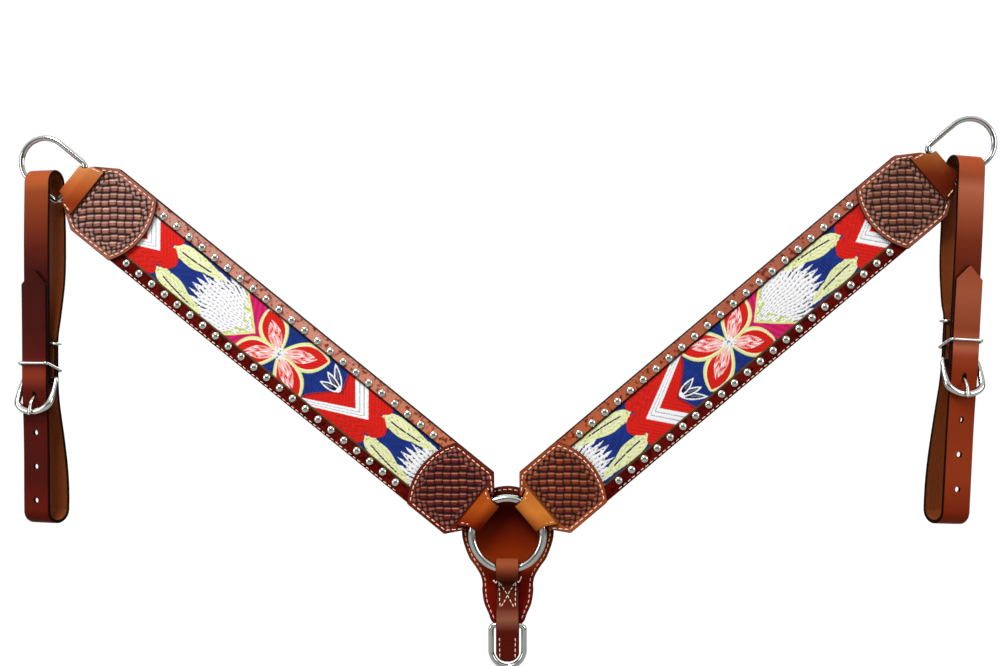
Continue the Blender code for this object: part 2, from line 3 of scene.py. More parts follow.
import bpy
import numpy as np
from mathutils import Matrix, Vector


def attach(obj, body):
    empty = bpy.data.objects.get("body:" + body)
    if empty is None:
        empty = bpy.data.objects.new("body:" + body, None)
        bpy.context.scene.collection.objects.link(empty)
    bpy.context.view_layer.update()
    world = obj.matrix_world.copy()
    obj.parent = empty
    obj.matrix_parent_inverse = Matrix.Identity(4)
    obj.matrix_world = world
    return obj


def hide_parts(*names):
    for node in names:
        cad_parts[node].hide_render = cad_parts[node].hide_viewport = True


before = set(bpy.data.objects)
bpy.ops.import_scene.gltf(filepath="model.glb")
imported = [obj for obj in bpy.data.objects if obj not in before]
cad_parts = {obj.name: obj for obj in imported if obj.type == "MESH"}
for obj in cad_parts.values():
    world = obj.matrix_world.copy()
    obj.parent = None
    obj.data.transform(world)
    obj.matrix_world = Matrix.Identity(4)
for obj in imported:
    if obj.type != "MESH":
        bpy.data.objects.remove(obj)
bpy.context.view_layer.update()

MM = 0.001
RNG = np.random.default_rng(7)  # the small unevenness of hand-sewn thread

# ---------- where things are, in millimetres ----------

# Depth grows away from the viewer; the middle of the arm is at 0.
LINER_FRONT, LINER_BACK = 1.5, 4.5
BORDER_FRONT, BORDER_BACK, BORDER_EDGE = -1.6, 1.2, 33.8
PATCH_FRONT, PATCH_BACK = -4.4, -1.9
CHAPE_THREAD_DEPTH = -7.2
CHAPE_THICKNESS, STRAP_THICKNESS, STRAP_HALF = 2.5, 3.2, 12.7
ARM_HALF = 34.5
PATCH_RADIUS, RING_APEX, SHOULDER_APEX = 59.0, 96.0, 412.5
TOOLED_HALF, TOOLED_MARGIN = 29.6, 4.6
STUDS, FIRST_STUD, STUD_PITCH, STUD_ROW = 22, 104.5, 14.57, 26.6
STUD_RADIUS, STUD_RISE = 3.6, 2.4
PANEL_NEAR, PANEL_FAR, PANEL_HALF, PANEL_BACK = 66.0, 446.0, 22.9, 1.1
DEE_BAR, DEE_WIRE, LOWER_DEE_BAR = 492.0, 2.5, -80.3
RING_RADIUS, RING_WIRE = 31.0, 3.5
SAFE_FRONT, SAFE_BACK = 8.6, 11.4

SIDES = {
    "left": {
        "sign": -1, "angle": math.radians(38.9), "dee_shift": -2.5, "top": (-409.5, 0, 319.3),
        "length": 311.4, "yaw": math.radians(-15), "lean": 0.0, "bar": 184.0, "tip": 89.0,
        "keeper": 169.8, "back_keeper": 153.2, "first_hole": 231.0, "skew": 4.6,
    },
    "right": {
        "sign": 1, "angle": math.radians(40.3), "dee_shift": 1.0, "top": (395.0, 0, 328.4),
        "length": 317.3, "yaw": math.radians(14), "lean": math.radians(2.9), "bar": 176.5, "tip": 95.5,
        "keeper": 158.6, "back_keeper": 143.3, "first_hole": 227.0, "skew": -4.9,
    },
}


class Frame:
    """An origin and three axes in millimetres; at() turns local points into world metres."""

    def __init__(self, origin, x, y, z):
        self.origin = np.array(origin, float)
        self.axes = np.array([x, y, z], float)

    def at(self, points):
        return (self.origin + np.asarray(points, float) @ self.axes) * MM


def arm_frame(side):
    """x along the arm, y across it, z deeper (away from the viewer)."""
    a, s = side["angle"], side["sign"]
    return Frame((0, 0, 0), (s * math.cos(a), 0, math.sin(a)), (-s * math.sin(a), 0, math.cos(a)), (0, 1, 0))


def tug_axes(side):
    depth = np.array((-math.sin(side["yaw"]), math.cos(side["yaw"]), 0))
    across = np.array((math.cos(side["yaw"]), math.sin(side["yaw"]), 0))
    up = np.array((0, 0, 1)) * math.cos(side["lean"]) + across * math.sin(side["lean"])
    return depth, up, np.cross(depth, up)


def tug_frame(side):
    """x across the strap, y depth, z up, from the top of the loop."""
    depth, up, across = tug_axes(side)
    return Frame(side["top"], across, depth, up)


WORLD = Frame((0, 0, 0), (1, 0, 0), (0, 1, 0), (0, 0, 1))


# ---------- mesh tools ----------

def add_mesh(name, verts, faces, mat, body, **point_values):
    """A smooth-shaded piece in world metres that rides on a body, with four values a point where given."""
    mesh = bpy.data.meshes.new(name)
    mesh.from_pydata([tuple(v) for v in verts], [], [tuple(f) for f in faces])
    mesh.validate()
    mesh.polygons.foreach_set("use_smooth", [True] * len(mesh.polygons))
    mesh.set_sharp_from_angle(angle=math.radians(52))
    for label, values in point_values.items():
        if values is not None:
            layer = mesh.color_attributes.new(label, "FLOAT_COLOR", "POINT")
            layer.data.foreach_set("color", np.asarray(values, np.float32).ravel())
    mesh.update()
    mesh.materials.append(mat)
    obj = bpy.data.objects.new(name, mesh)
    bpy.context.scene.collection.objects.link(obj)
    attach(obj, body)
    return obj


def join(parts):
    """Several (verts, faces) pairs as one."""
    verts, faces, base = [], [], 0
    for v, f in parts:
        verts.append(np.asarray(v))
        faces += [tuple(i + base for i in face) for face in f]
        base += len(v)
    return np.concatenate(verts), faces


def bands(levels, around, closed=False, first=0):
    """Quads between rings of points that follow each other."""
    faces = []
    for i in range(levels if closed else levels - 1):
        here, there = first + i * around, first + (i + 1) % levels * around
        for k in range(around):
            j = (k + 1) % around
            faces.append((here + k, here + j, there + j, there + k))
    return faces


def end_caps(levels, around):
    """The faces that close the first and the last ring of a tube."""
    return [tuple(range(around))[::-1], tuple(range((levels - 1) * around, levels * around))]


def grid_faces(rows, cols):
    starts = [i * cols + k for i in range(rows - 1) for k in range(cols - 1)]
    return [(n, n + 1, n + cols + 1, n + cols) for n in starts]


def turned_over(points):
    """The same points on the other side of the arm's middle line, from last to first."""
    return [(x, -y) for x, y in reversed(points)]


def smooth_line(points, steps=6, closed=False):
    """A smooth line through every point."""
    p = np.asarray(points, float)
    ends = np.vstack([p[-1:], p, p[:2]]) if closed else np.vstack([p[:1], p, p[-1:]])
    line = []
    for i in range(len(ends) - 3):
        a, b, c, d = ends[i:i + 4]
        for k in range(steps):
            t = k / steps
            line.append(0.5 * (2 * b + (c - a) * t + (2 * a - 5 * b + 4 * c - d) * t * t
                               + (3 * b - a - 3 * c + d) * t ** 3))
    if not closed:
        line.append(p[-1])
    return np.array(line)


def arc(cx, cy, radius, start, end, steps):
    angles = np.radians(np.linspace(start, end, steps + 1))
    return np.stack([cx + radius * np.cos(angles), cy + radius * np.sin(angles)], 1)


def even(points, step, closed=False):
    """The same line with points an even distance apart."""
    p = np.asarray(points, float)
    if closed:
        p = np.vstack([p, p[:1]])
    seg = np.linalg.norm(np.diff(p, axis=0), axis=1)
    total = np.concatenate([[0], np.cumsum(seg)])
    count = max(2, int(round(total[-1] / step)))
    marks = np.linspace(0, total[-1], count + 1)
    out = np.stack([np.interp(marks, total, p[:, k]) for k in range(p.shape[1])], 1)
    return out[:-1] if closed else out


def tube(path, radius, closed, sides=14, taper=None):
    """A round wire in local 3-D millimetres, as (verts, faces)."""
    p = np.asarray(path, float)
    n = len(p)
    ahead = np.roll(p, -1, 0) - np.roll(p, 1, 0)
    if not closed:
        ahead[0], ahead[-1] = p[1] - p[0], p[-1] - p[-2]
    ahead /= np.linalg.norm(ahead, axis=1)[:, None]
    spread = p.max(0) - p.min(0)
    up = np.zeros(3)
    up[int(np.argmin(spread))] = 1.0
    side = np.cross(ahead, up)
    side /= np.linalg.norm(side, axis=1)[:, None]
    top = np.cross(side, ahead)
    angles = np.linspace(0, 2 * math.pi, sides, endpoint=False)
    radii = np.full(n, radius) if taper is None else radius * np.asarray(taper)
    cosines, sines = np.cos(angles)[None, :, None], np.sin(angles)[None, :, None]
    ring = cosines * side[:, None, :] + sines * top[:, None, :]
    verts = (p[:, None, :] + ring * radii[:, None, None]).reshape(-1, 3)
    return verts, bands(n, sides, closed) + ([] if closed else end_caps(n, sides))


def ribbon(path, thickness, half_width, rounding=0.5, across=9, groove=None):
    """A strap along a 2-D path (x, y); its width runs on z. Gives verts, faces and the lay table.

    lay holds: edge, place across (0 to 1), place along in decimetres, 1 on the side left of the path.
    """
    p = np.asarray(path, float)
    n = len(p)
    ahead = np.gradient(p, axis=0)
    ahead /= np.linalg.norm(ahead, axis=1)[:, None]
    normal = np.stack([-ahead[:, 1], ahead[:, 0]], 1)
    halves = np.full(n, half_width) if np.isscalar(half_width) else np.asarray(half_width, float)
    run = np.concatenate([[0], np.cumsum(np.linalg.norm(np.diff(p, axis=0), axis=1))])
    h = thickness / 2
    places = [-1 + 2 * k / (across - 1) for k in range(across)]
    corner = [(math.cos(t), math.sin(t)) for t in np.linspace(math.pi / 2, -math.pi / 2, 7)[1:-1]]

    def side_of(s):
        return 1.0 if s > 0.3 else 0.5 if s > -0.3 else 0.0

    # each: place across, height, bulge of the rounded side, which face it is on, 1 on an edge
    loop = [(place, h, 0.0, 1.0, 0.0) for place in places]
    loop += [(1.0, s * h, c, side_of(s), 1.0) for c, s in corner]
    loop += [(place, -h, 0.0, 0.0, 0.0) for place in reversed(places)]
    loop += [(-1.0, s * h, c, side_of(s), 1.0) for c, s in reversed(corner)]
    m = len(loop)
    verts = np.zeros((n, m, 3))
    lay = np.zeros((n, m, 4))
    for k, (place, off, bulge, face, edge) in enumerate(loop):
        wide = (halves - rounding) * place + math.copysign(rounding * bulge, place) * (1 if bulge else 0)
        deep = np.full(n, off)
        if groove is not None and not edge:
            deep = deep - math.copysign(1, off) * groove(run, wide)
        verts[:, k, 0] = p[:, 0] + normal[:, 0] * deep
        verts[:, k, 1] = p[:, 1] + normal[:, 1] * deep
        verts[:, k, 2] = wide
        lay[:, k, 0] = edge
        lay[:, k, 1] = (wide / halves + 1) / 2
        lay[:, k, 2] = run / 100
        lay[:, k, 3] = face
    lay[0, :, 0] = lay[-1, :, 0] = 1
    return verts.reshape(-1, 3), bands(n, m) + end_caps(n, m), lay.reshape(-1, 4)


def inset(outline, amount):
    """The outline moved inward by an amount, point by point."""
    p = np.asarray(outline, float)
    before, after = p - np.roll(p, 1, 0), np.roll(p, -1, 0) - p
    before /= np.linalg.norm(before, axis=1)[:, None]
    after /= np.linalg.norm(after, axis=1)[:, None]
    area = np.sum(p[:, 0] * np.roll(p[:, 1], -1) - np.roll(p[:, 0], -1) * p[:, 1])
    turn = 1.0 if area > 0 else -1.0
    n1 = np.stack([-before[:, 1], before[:, 0]], 1) * turn
    n2 = np.stack([-after[:, 1], after[:, 0]], 1) * turn
    mid = n1 + n2
    mid /= np.maximum(np.sum(mid * n1, axis=1), 0.35)[:, None]
    return p + mid * amount


def plate(outline, front, back, rounding=0.7):
    """A flat leather piece with rounded edges: outline in x, y; z from front to back."""
    p = even(outline, 1.5, closed=True)
    levels = [
        (rounding, front), (rounding * 0.3, front + rounding * 0.3), (0.0, front + rounding),
        (0.0, back - rounding), (rounding * 0.3, back - rounding * 0.3), (rounding, back),
    ]
    n = len(p)
    verts, lay = [], []
    for amount, depth in levels:
        ring = inset(p, amount) if amount else p
        verts.append(np.column_stack([ring, np.full(n, depth)]))
        edge = 0.0 if amount == rounding else 1.0
        lay.append(np.tile((edge, 0.5, 0.0, 1.0 if depth < (front + back) / 2 else 0.0), (n, 1)))
    caps = [face[::-1] for face in end_caps(len(levels), n)]
    return np.concatenate(verts), bands(len(levels), n) + caps, np.concatenate(lay)


def outward(verts, faces):
    """Faces turned so that the closed mesh has a positive volume."""
    total = 0.0
    for f in faces:
        a = verts[f[0]]
        for i in range(1, len(f) - 1):
            total += np.dot(a, np.cross(verts[f[i]], verts[f[i + 1]]))
    return faces if total > 0 else [tuple(reversed(f)) for f in faces]


def solid(name, part, where, mat, body, stands_for=None, paint=None):
    """A closed piece from (verts, faces) or (verts, faces, lay), which may stand for a CAD node."""
    verts = where.at(part[0])
    faces = outward(verts - verts.mean(0), part[1])
    piece = add_mesh(name, verts, faces, mat, body, paint=paint, lay=part[2] if len(part) > 2 else None)
    if stands_for:
        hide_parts(stands_for)
    return piece


def stitches(line, depth, lift=0.05, pitch=5.2, length=3.7, radius=0.48, out=-1.0):
    """Thread lying along a 2-D line at a depth; out is the side that it stands on."""
    p = even(line, pitch)
    parts = []
    for a, b in zip(p[:-1], p[1:]):
        way = (b - a) / np.linalg.norm(b - a)
        mid = (a + b) / 2 + RNG.normal(0, 0.10, 2)
        tilt = RNG.normal(0, 0.05)
        way = np.array((way[0] - way[1] * tilt, way[1] + way[0] * tilt))
        aside = np.array((-way[1], way[0]))
        verts = []
        for t, r, rise in ((-1, 0.45, -0.32), (-0.82, 0.9, -0.02), (0, 1.0, 0.12), (0.82, 0.9, -0.02),
                           (1, 0.45, -0.32)):
            centre = mid + way * t * length / 2
            for k in range(6):
                angle = math.pi * k / 3
                flat = centre + aside * math.cos(angle) * r * radius
                level = depth(flat[1]) if callable(depth) else depth
                verts.append((flat[0], flat[1], level + out * (lift + rise + math.sin(angle) * r * radius)))
        parts.append((np.array(verts), end_caps(5, 6) + bands(5, 6)))
    return join(parts)


def thread(name, lines, where, body, kind=None, **kwargs):
    """Rows of stitches as one piece; each line is (points, depth, side that it stands on)."""
    parts = [stitches(line, depth, out=out, **kwargs) for line, depth, out in lines]
    verts, faces = join(parts)
    verts = where.at(verts)
    per_stitch, per_stitch_faces = 30, 26
    one = faces[:per_stitch_faces]
    if outward(verts[:per_stitch] - verts[:per_stitch].mean(0), one) != one:
        faces = [tuple(reversed(f)) for f in faces]
    return add_mesh(name, verts, faces, kind or THREAD, body)


# ---------- materials ----------

def srgb(r, g, b):
    """A colour given in screen values from 0 to 255."""
    def lin(v):
        v /= 255
        return v / 12.92 if v <= 0.04045 else ((v + 0.055) / 1.055) ** 2.4
    return (lin(r), lin(g), lin(b), 1.0)


class Nodes:
    """Short calls for building a material's node tree."""

    def __init__(self, name):
        self.mat = bpy.data.materials.new(name)
        self.mat.use_nodes = True
        self.tree = self.mat.node_tree
        self.shader = self.tree.nodes["Principled BSDF"]

    def surface(self, **values):
        """The shader's inputs, as plain values or as sockets to link."""
        for key, value in values.items():
            self.plug(value, self.shader.inputs[key.replace("_", " ")])

    def plug(self, value, socket):
        if hasattr(value, "is_linked"):
            self.link(value, socket)
        else:
            socket.default_value = value

    def node(self, kind, **values):
        made = self.tree.nodes.new(kind)
        for key, value in values.items():
            if hasattr(made, key):
                setattr(made, key, value)
            else:
                self.plug(value, made.inputs[key.replace("_", " ")])
        return made

    def link(self, a, b):
        self.tree.links.new(a, b)

    def noise(self, scale, detail, rough, kind="ShaderNodeTexNoise"):
        coords = self.node("ShaderNodeTexCoord").outputs["Object"]
        return self.node(kind, Scale=scale, Detail=detail, Roughness=rough, Vector=coords)

    def mix(self, factor, a, b, blend="MIX"):
        made = self.node("ShaderNodeMix", data_type="RGBA", blend_type=blend)
        for place, value in ((0, factor), (6, a), (7, b)):
            self.plug(value, made.inputs[place])
        return made.outputs[2]

    def ramp(self, source, stops):
        made = self.node("ShaderNodeValToRGB")
        ramp = made.color_ramp
        ramp.elements[0].position, ramp.elements[0].color = stops[0]
        ramp.elements[1].position, ramp.elements[1].color = stops[1]
        for place, colour in stops[2:]:
            ramp.elements.new(place).color = colour
        self.link(source, made.inputs["Fac"])
        return made.outputs["Color"]

    def between(self, source, low, high):
        """A value from 0 to 1 stretched to run from low to high."""
        return self.node("ShaderNodeMapRange", To_Min=low, To_Max=high, Value=source).outputs["Result"]

    def bump(self, height, strength, distance, under=None):
        made = self.node("ShaderNodeBump", Strength=strength, Distance=distance, Height=height)
        if under is not None:
            self.link(under, made.inputs["Normal"])
        return made.outputs["Normal"]


BLACK, WHITE = (0, 0, 0, 1), (1, 1, 1, 1)


def leather(name, light, dark, edge, rough, coat, flesh=None, painted_shading_tones=None, painted_shadow_spots=None, along=False):
    """Smooth dyed leather: mottled dye, fine grain, darker rounded edges, and a raw back if asked.

    The list of colours by place holds (height in metres, red, green, blue) from bottom to top, or, with
    along set, (decimetres along the strap, red, green, blue). Its colours are painted light and shade laid
    over the dye: painted highlights where light falls and painted shade where it does not. The spot colour
    paints darker spots that stand for the studs' shadows and reflections.
    """
    n = Nodes(name)
    grain = 900
    cloud = n.noise(26, 4, 0.6)
    fine = n.noise(grain, 3, 0.6)
    fibres = n.noise(grain * 0.42, 2, 0.5, kind="ShaderNodeTexVoronoi")
    base = n.mix(n.ramp(cloud.outputs["Fac"], [(0.32, BLACK), (0.68, WHITE)]), srgb(*dark), srgb(*light))
    lay = n.node("ShaderNodeAttribute", attribute_name="lay")
    parts = n.node("ShaderNodeSeparateColor", Color=lay.outputs["Color"])
    # painted light and shade: the colour follows the list by height, or along the strap, lighter on painted
    # highlights and darker where painted shade falls
    if painted_shading_tones is not None:
        coords = n.node("ShaderNodeTexCoord")
        split = n.node("ShaderNodeSeparateXYZ", Vector=coords.outputs["Object"])
        low, high = painted_shading_tones[0][0], painted_shading_tones[-1][0]
        follow = parts.outputs["Blue"] if along else split.outputs["Z"]
        span = n.node("ShaderNodeMapRange", From_Min=low, From_Max=high, Value=follow)
        stops = [((z - low) / (high - low), srgb(*rgb)) for z, *rgb in painted_shading_tones]
        base = n.mix(0.88, base, n.ramp(span.outputs["Result"], stops))
    # painted shade: darker spots that stand for the studs' shadows and reflections on the border
    if painted_shadow_spots is not None:
        spots = n.noise(240, 2, 0.5)
        base = n.mix(n.ramp(spots.outputs["Fac"], [(0.54, BLACK), (0.66, WHITE)]), base, srgb(*painted_shadow_spots))
    if flesh is not None:
        pale = srgb(*flesh)
        raw = n.mix(n.ramp(fine.outputs["Fac"], [(0.3, BLACK), (0.7, WHITE)]), pale,
                    tuple(c * 0.62 for c in pale[:3]) + (1.0,))
        base = n.mix(lay.outputs["Alpha"], raw, base)
    worn = n.mix(n.ramp(fine.outputs["Fac"], [(0.35, BLACK), (0.75, WHITE)]), BLACK, (0.10, 0.10, 0.10, 1))
    base = n.mix(0.25, base, worn, "SOFT_LIGHT")
    base = n.mix(parts.outputs["Red"], base, srgb(*edge))
    first = n.bump(fibres.outputs["Distance"], 0.12, 0.0002)
    n.surface(
        Base_Color=base, Roughness=n.between(fine.outputs["Fac"], rough - 0.06, rough + 0.10),
        Normal=n.bump(fine.outputs["Fac"], 0.10, 0.0002, first), Specular_IOR_Level=0.02,
        Coat_Weight=coat * 0.035, Coat_Roughness=0.30,
    )
    return n.mat


def painted(name, rough, coat, strength, scale):
    """A surface whose colour is worked out point by point, with fibres of its own."""
    n = Nodes(name)
    paint = n.node("ShaderNodeAttribute", attribute_name="paint")
    fine = n.noise(scale, 3, 0.6).outputs["Fac"]
    shade = n.ramp(fine, [(0.25, (0.78, 0.78, 0.78, 1)), (0.75, (1.0, 1.0, 1.0, 1))])
    n.surface(
        Base_Color=n.mix(1.0, paint.outputs["Color"], shade, "MULTIPLY"), Roughness=rough,
        Normal=n.bump(fine, strength, 0.0003), Specular_IOR_Level=0.16, Coat_Weight=coat * 0.2,
        Coat_Roughness=0.3,
    )
    return n.mat


def metal(name, colour, rough):
    """Polished plate with a faint uneven haze and fine scratches."""
    n = Nodes(name)
    haze = n.noise(55, 3, 0.6).outputs["Fac"]
    scratch = n.noise(700, 2, 0.5).outputs["Fac"]
    n.surface(
        Base_Color=n.ramp(haze, [(0.35, tuple(c * 0.88 for c in colour[:3]) + (1,)), (0.7, colour)]),
        Metallic=1.0, Roughness=n.between(haze, rough - 0.03, rough + 0.07), Normal=n.bump(scratch, 0.03, 0.0001),
    )
    return n.mat


def yarn(name, light, dark, rough):
    """Twisted sewing thread."""
    n = Nodes(name)
    twist = n.noise(1500, 2, 0.5).outputs["Fac"]
    n.surface(
        Base_Color=n.ramp(twist, [(0.35, srgb(*dark)), (0.65, srgb(*light))]), Roughness=rough,
        Normal=n.bump(twist, 0.3, 0.0002),
    )
    return n.mat


EDGE = (22, 9, 7)
THREAD = yarn("thread", (255, 236, 214), (214, 178, 150), 0.7)
WAXED = yarn("waxed_thread", (196, 140, 112), (120, 66, 48), 0.6)
NICKEL = metal("nickel", (0.70, 0.72, 0.68, 1), 0.12)
STUD_NICKEL = metal("stud_nickel", (0.72, 0.74, 0.66, 1), 0.15)
FLESH = (142, 72, 34)
# painted light and shade along each strap: the lighter bands are painted highlights where the strap bends, the
# darker stretches are painted shade
STRAP = {
    "left": leather("strap_left", (112, 34, 14), (70, 14, 6), EDGE, 0.30, 0.5, FLESH, along=True, painted_shading_tones=[
        (0.0, 70, 14, 6), (1.42, 62, 9, 4), (1.62, 88, 24, 8), (1.90, 124, 50, 20),
        (2.12, 146, 70, 32), (2.19, 176, 92, 48), (2.52, 110, 34, 14), (5.42, 100, 26, 12),
        (5.76, 98, 24, 12), (6.05, 74, 13, 7), (6.80, 84, 16, 8), (6.92, 134, 50, 26),
        (7.02, 120, 38, 20), (7.08, 84, 16, 8), (7.35, 62, 8, 4), (7.86, 58, 8, 4)]),
    "right": leather("strap_right", (150, 66, 34), (112, 38, 14), EDGE, 0.30, 0.5, FLESH, along=True, painted_shading_tones=[
        (0.0, 110, 40, 14), (1.28, 100, 32, 10), (1.50, 124, 46, 18), (1.75, 162, 82, 50),
        (1.95, 186, 106, 76), (2.05, 160, 76, 44), (2.11, 176, 86, 50), (2.44, 150, 66, 34),
        (5.71, 130, 38, 14), (6.00, 152, 60, 26), (6.90, 142, 52, 20), (7.05, 152, 62, 28),
        (7.14, 192, 110, 80), (7.28, 148, 70, 40), (7.60, 170, 92, 62), (7.80, 160, 80, 50)]),
}
# painted light and shade by height on the drop strap and the safe, with a painted highlight on the bulge over the
# bottom dee
DROP_LEATHER = leather("drop_leather", (122, 44, 28), (92, 26, 14), EDGE, 0.32, 0.3, FLESH, painted_shading_tones=[
    (-0.112, 82, 18, 10), (-0.085, 96, 26, 16), (-0.074, 140, 88, 66), (-0.066, 104, 40, 26),
    (-0.05, 96, 34, 22), (-0.042, 60, 12, 8), (-0.034, 120, 52, 26), (-0.028, 150, 78, 46)])
SAFE_LEATHER = leather("safe_leather", (118, 26, 8), (84, 14, 6), EDGE, 0.36, 0.1, FLESH, painted_shading_tones=[
    (-0.08, 118, 16, 8), (-0.04, 124, 20, 10), (-0.026, 156, 58, 14), (-0.008, 122, 36, 8),
    (0.014, 72, 12, 4), (0.03, 52, 8, 4), (0.04, 110, 44, 30)])
LINER = leather("liner", (92, 40, 22), (60, 24, 14), (18, 12, 10), 0.62, 0.0)
# painted light: the upper borders are a lit copy of the borders' leather, lighter than the lower border and
# changing by height; their darker spots are painted shadows and reflections beside the studs
UPPER_LIT = {
    "left": leather("upper_border_left", (206, 140, 118), (170, 92, 66), (30, 12, 10), 0.38, 0.35,
                    painted_shading_tones=[(0.06, 200, 118, 76), (0.16, 200, 142, 122), (0.29, 192, 146, 134)],
                    painted_shadow_spots=(132, 56, 38)),
    "right": leather("upper_border_right", (198, 124, 88), (160, 80, 46), (30, 12, 10), 0.38, 0.35,
                     painted_shading_tones=[(0.06, 186, 98, 54), (0.16, 176, 98, 70), (0.29, 172, 104, 86)],
                     painted_shadow_spots=(120, 46, 30)),
}
# the lower border's darker spots are painted shadows and reflections beside the studs
LOWER = leather("lower_border", (112, 20, 12), (74, 8, 6), (26, 8, 6), 0.36, 0.35, painted_shadow_spots=(60, 6, 5))
# painted light and shade by height on the chapes: lighter towards the top, darker at the bottom
CHAPE = {
    "left_ring": leather("chape_left_ring", (176, 82, 22), (120, 30, 8), (60, 22, 10), 0.28, 0.5, painted_shading_tones=[
        (-0.01, 92, 12, 6), (0.008, 122, 26, 8), (0.024, 176, 84, 24), (0.036, 170, 80, 24)]),
    "right_ring": leather("chape_right_ring", (196, 118, 48), (164, 84, 24), (86, 40, 14), 0.28, 0.5,
                          painted_shading_tones=[(-0.008, 130, 44, 10), (0.004, 170, 86, 24), (0.02, 206, 130, 56),
                                 (0.036, 190, 112, 48)]),
    "left_shoulder": leather("chape_left_shoulder", (182, 112, 62), (138, 62, 26), (66, 28, 12), 0.3, 0.6,
                             painted_shading_tones=[(0.29, 132, 42, 14), (0.305, 176, 92, 44), (0.322, 198, 134, 82),
                                    (0.34, 168, 98, 50)]),
    "right_shoulder": leather("chape_right_shoulder", (170, 98, 48), (116, 44, 18), (60, 24, 12), 0.3, 0.6,
                              painted_shading_tones=[(0.298, 88, 18, 8), (0.312, 110, 34, 14), (0.326, 150, 82, 36),
                                     (0.338, 184, 118, 62), (0.35, 140, 72, 34)]),
}
PATCH = {
    "left_ring": leather("patch_left_ring", (124, 44, 28), (92, 24, 14), (48, 16, 10), 0.42, 0.3),
    "right_ring": leather("patch_right_ring", (168, 84, 44), (128, 52, 24), (60, 24, 12), 0.42, 0.3),
    "left_shoulder": leather("patch_left_shoulder", (172, 112, 94), (134, 74, 58), (44, 18, 14), 0.42, 0.3),
    "right_shoulder": leather("patch_right_shoulder", (156, 92, 72), (120, 58, 42), (44, 18, 14), 0.42, 0.3),
}
TOOLED = painted("tooled_leather", 0.42, 0.25, 0.25, 700)
CLOTH = painted("embroidery", 0.62, 0.0, 0.5, 1600)


# ---------- embroidery ----------

C = {name: np.array(srgb(*rgb)) for name, rgb in {
    "blue": (16, 50, 136), "navy": (6, 20, 66), "red": (222, 24, 12), "deep": (176, 10, 8),
    "cream": (238, 240, 190), "lime": (196, 212, 92), "lime_pale": (222, 230, 140),
    "magenta": (216, 22, 104), "white": (246, 246, 246), "slate": (104, 110, 136), "pink": (248, 190, 184),
    "brown": (96, 66, 30),
}.items()}
PERIOD = 269.0


def hash2(a, b):
    """Repeatable speckle between 0 and 1."""
    v = np.sin(a * 12.9898 + b * 78.233) * 43758.5453
    return v - np.floor(v)


def leaf_coords(u, w, start, end):
    """Place along (0 at start, 1 at end) and distance off the line from start to end."""
    du, dw = end[0] - start[0], end[1] - start[1]
    size = math.hypot(du, dw)
    t = ((u - start[0]) * du + (w - start[1]) * dw) / size ** 2
    off = (-(u - start[0]) * dw + (w - start[1]) * du) / size
    return t, off


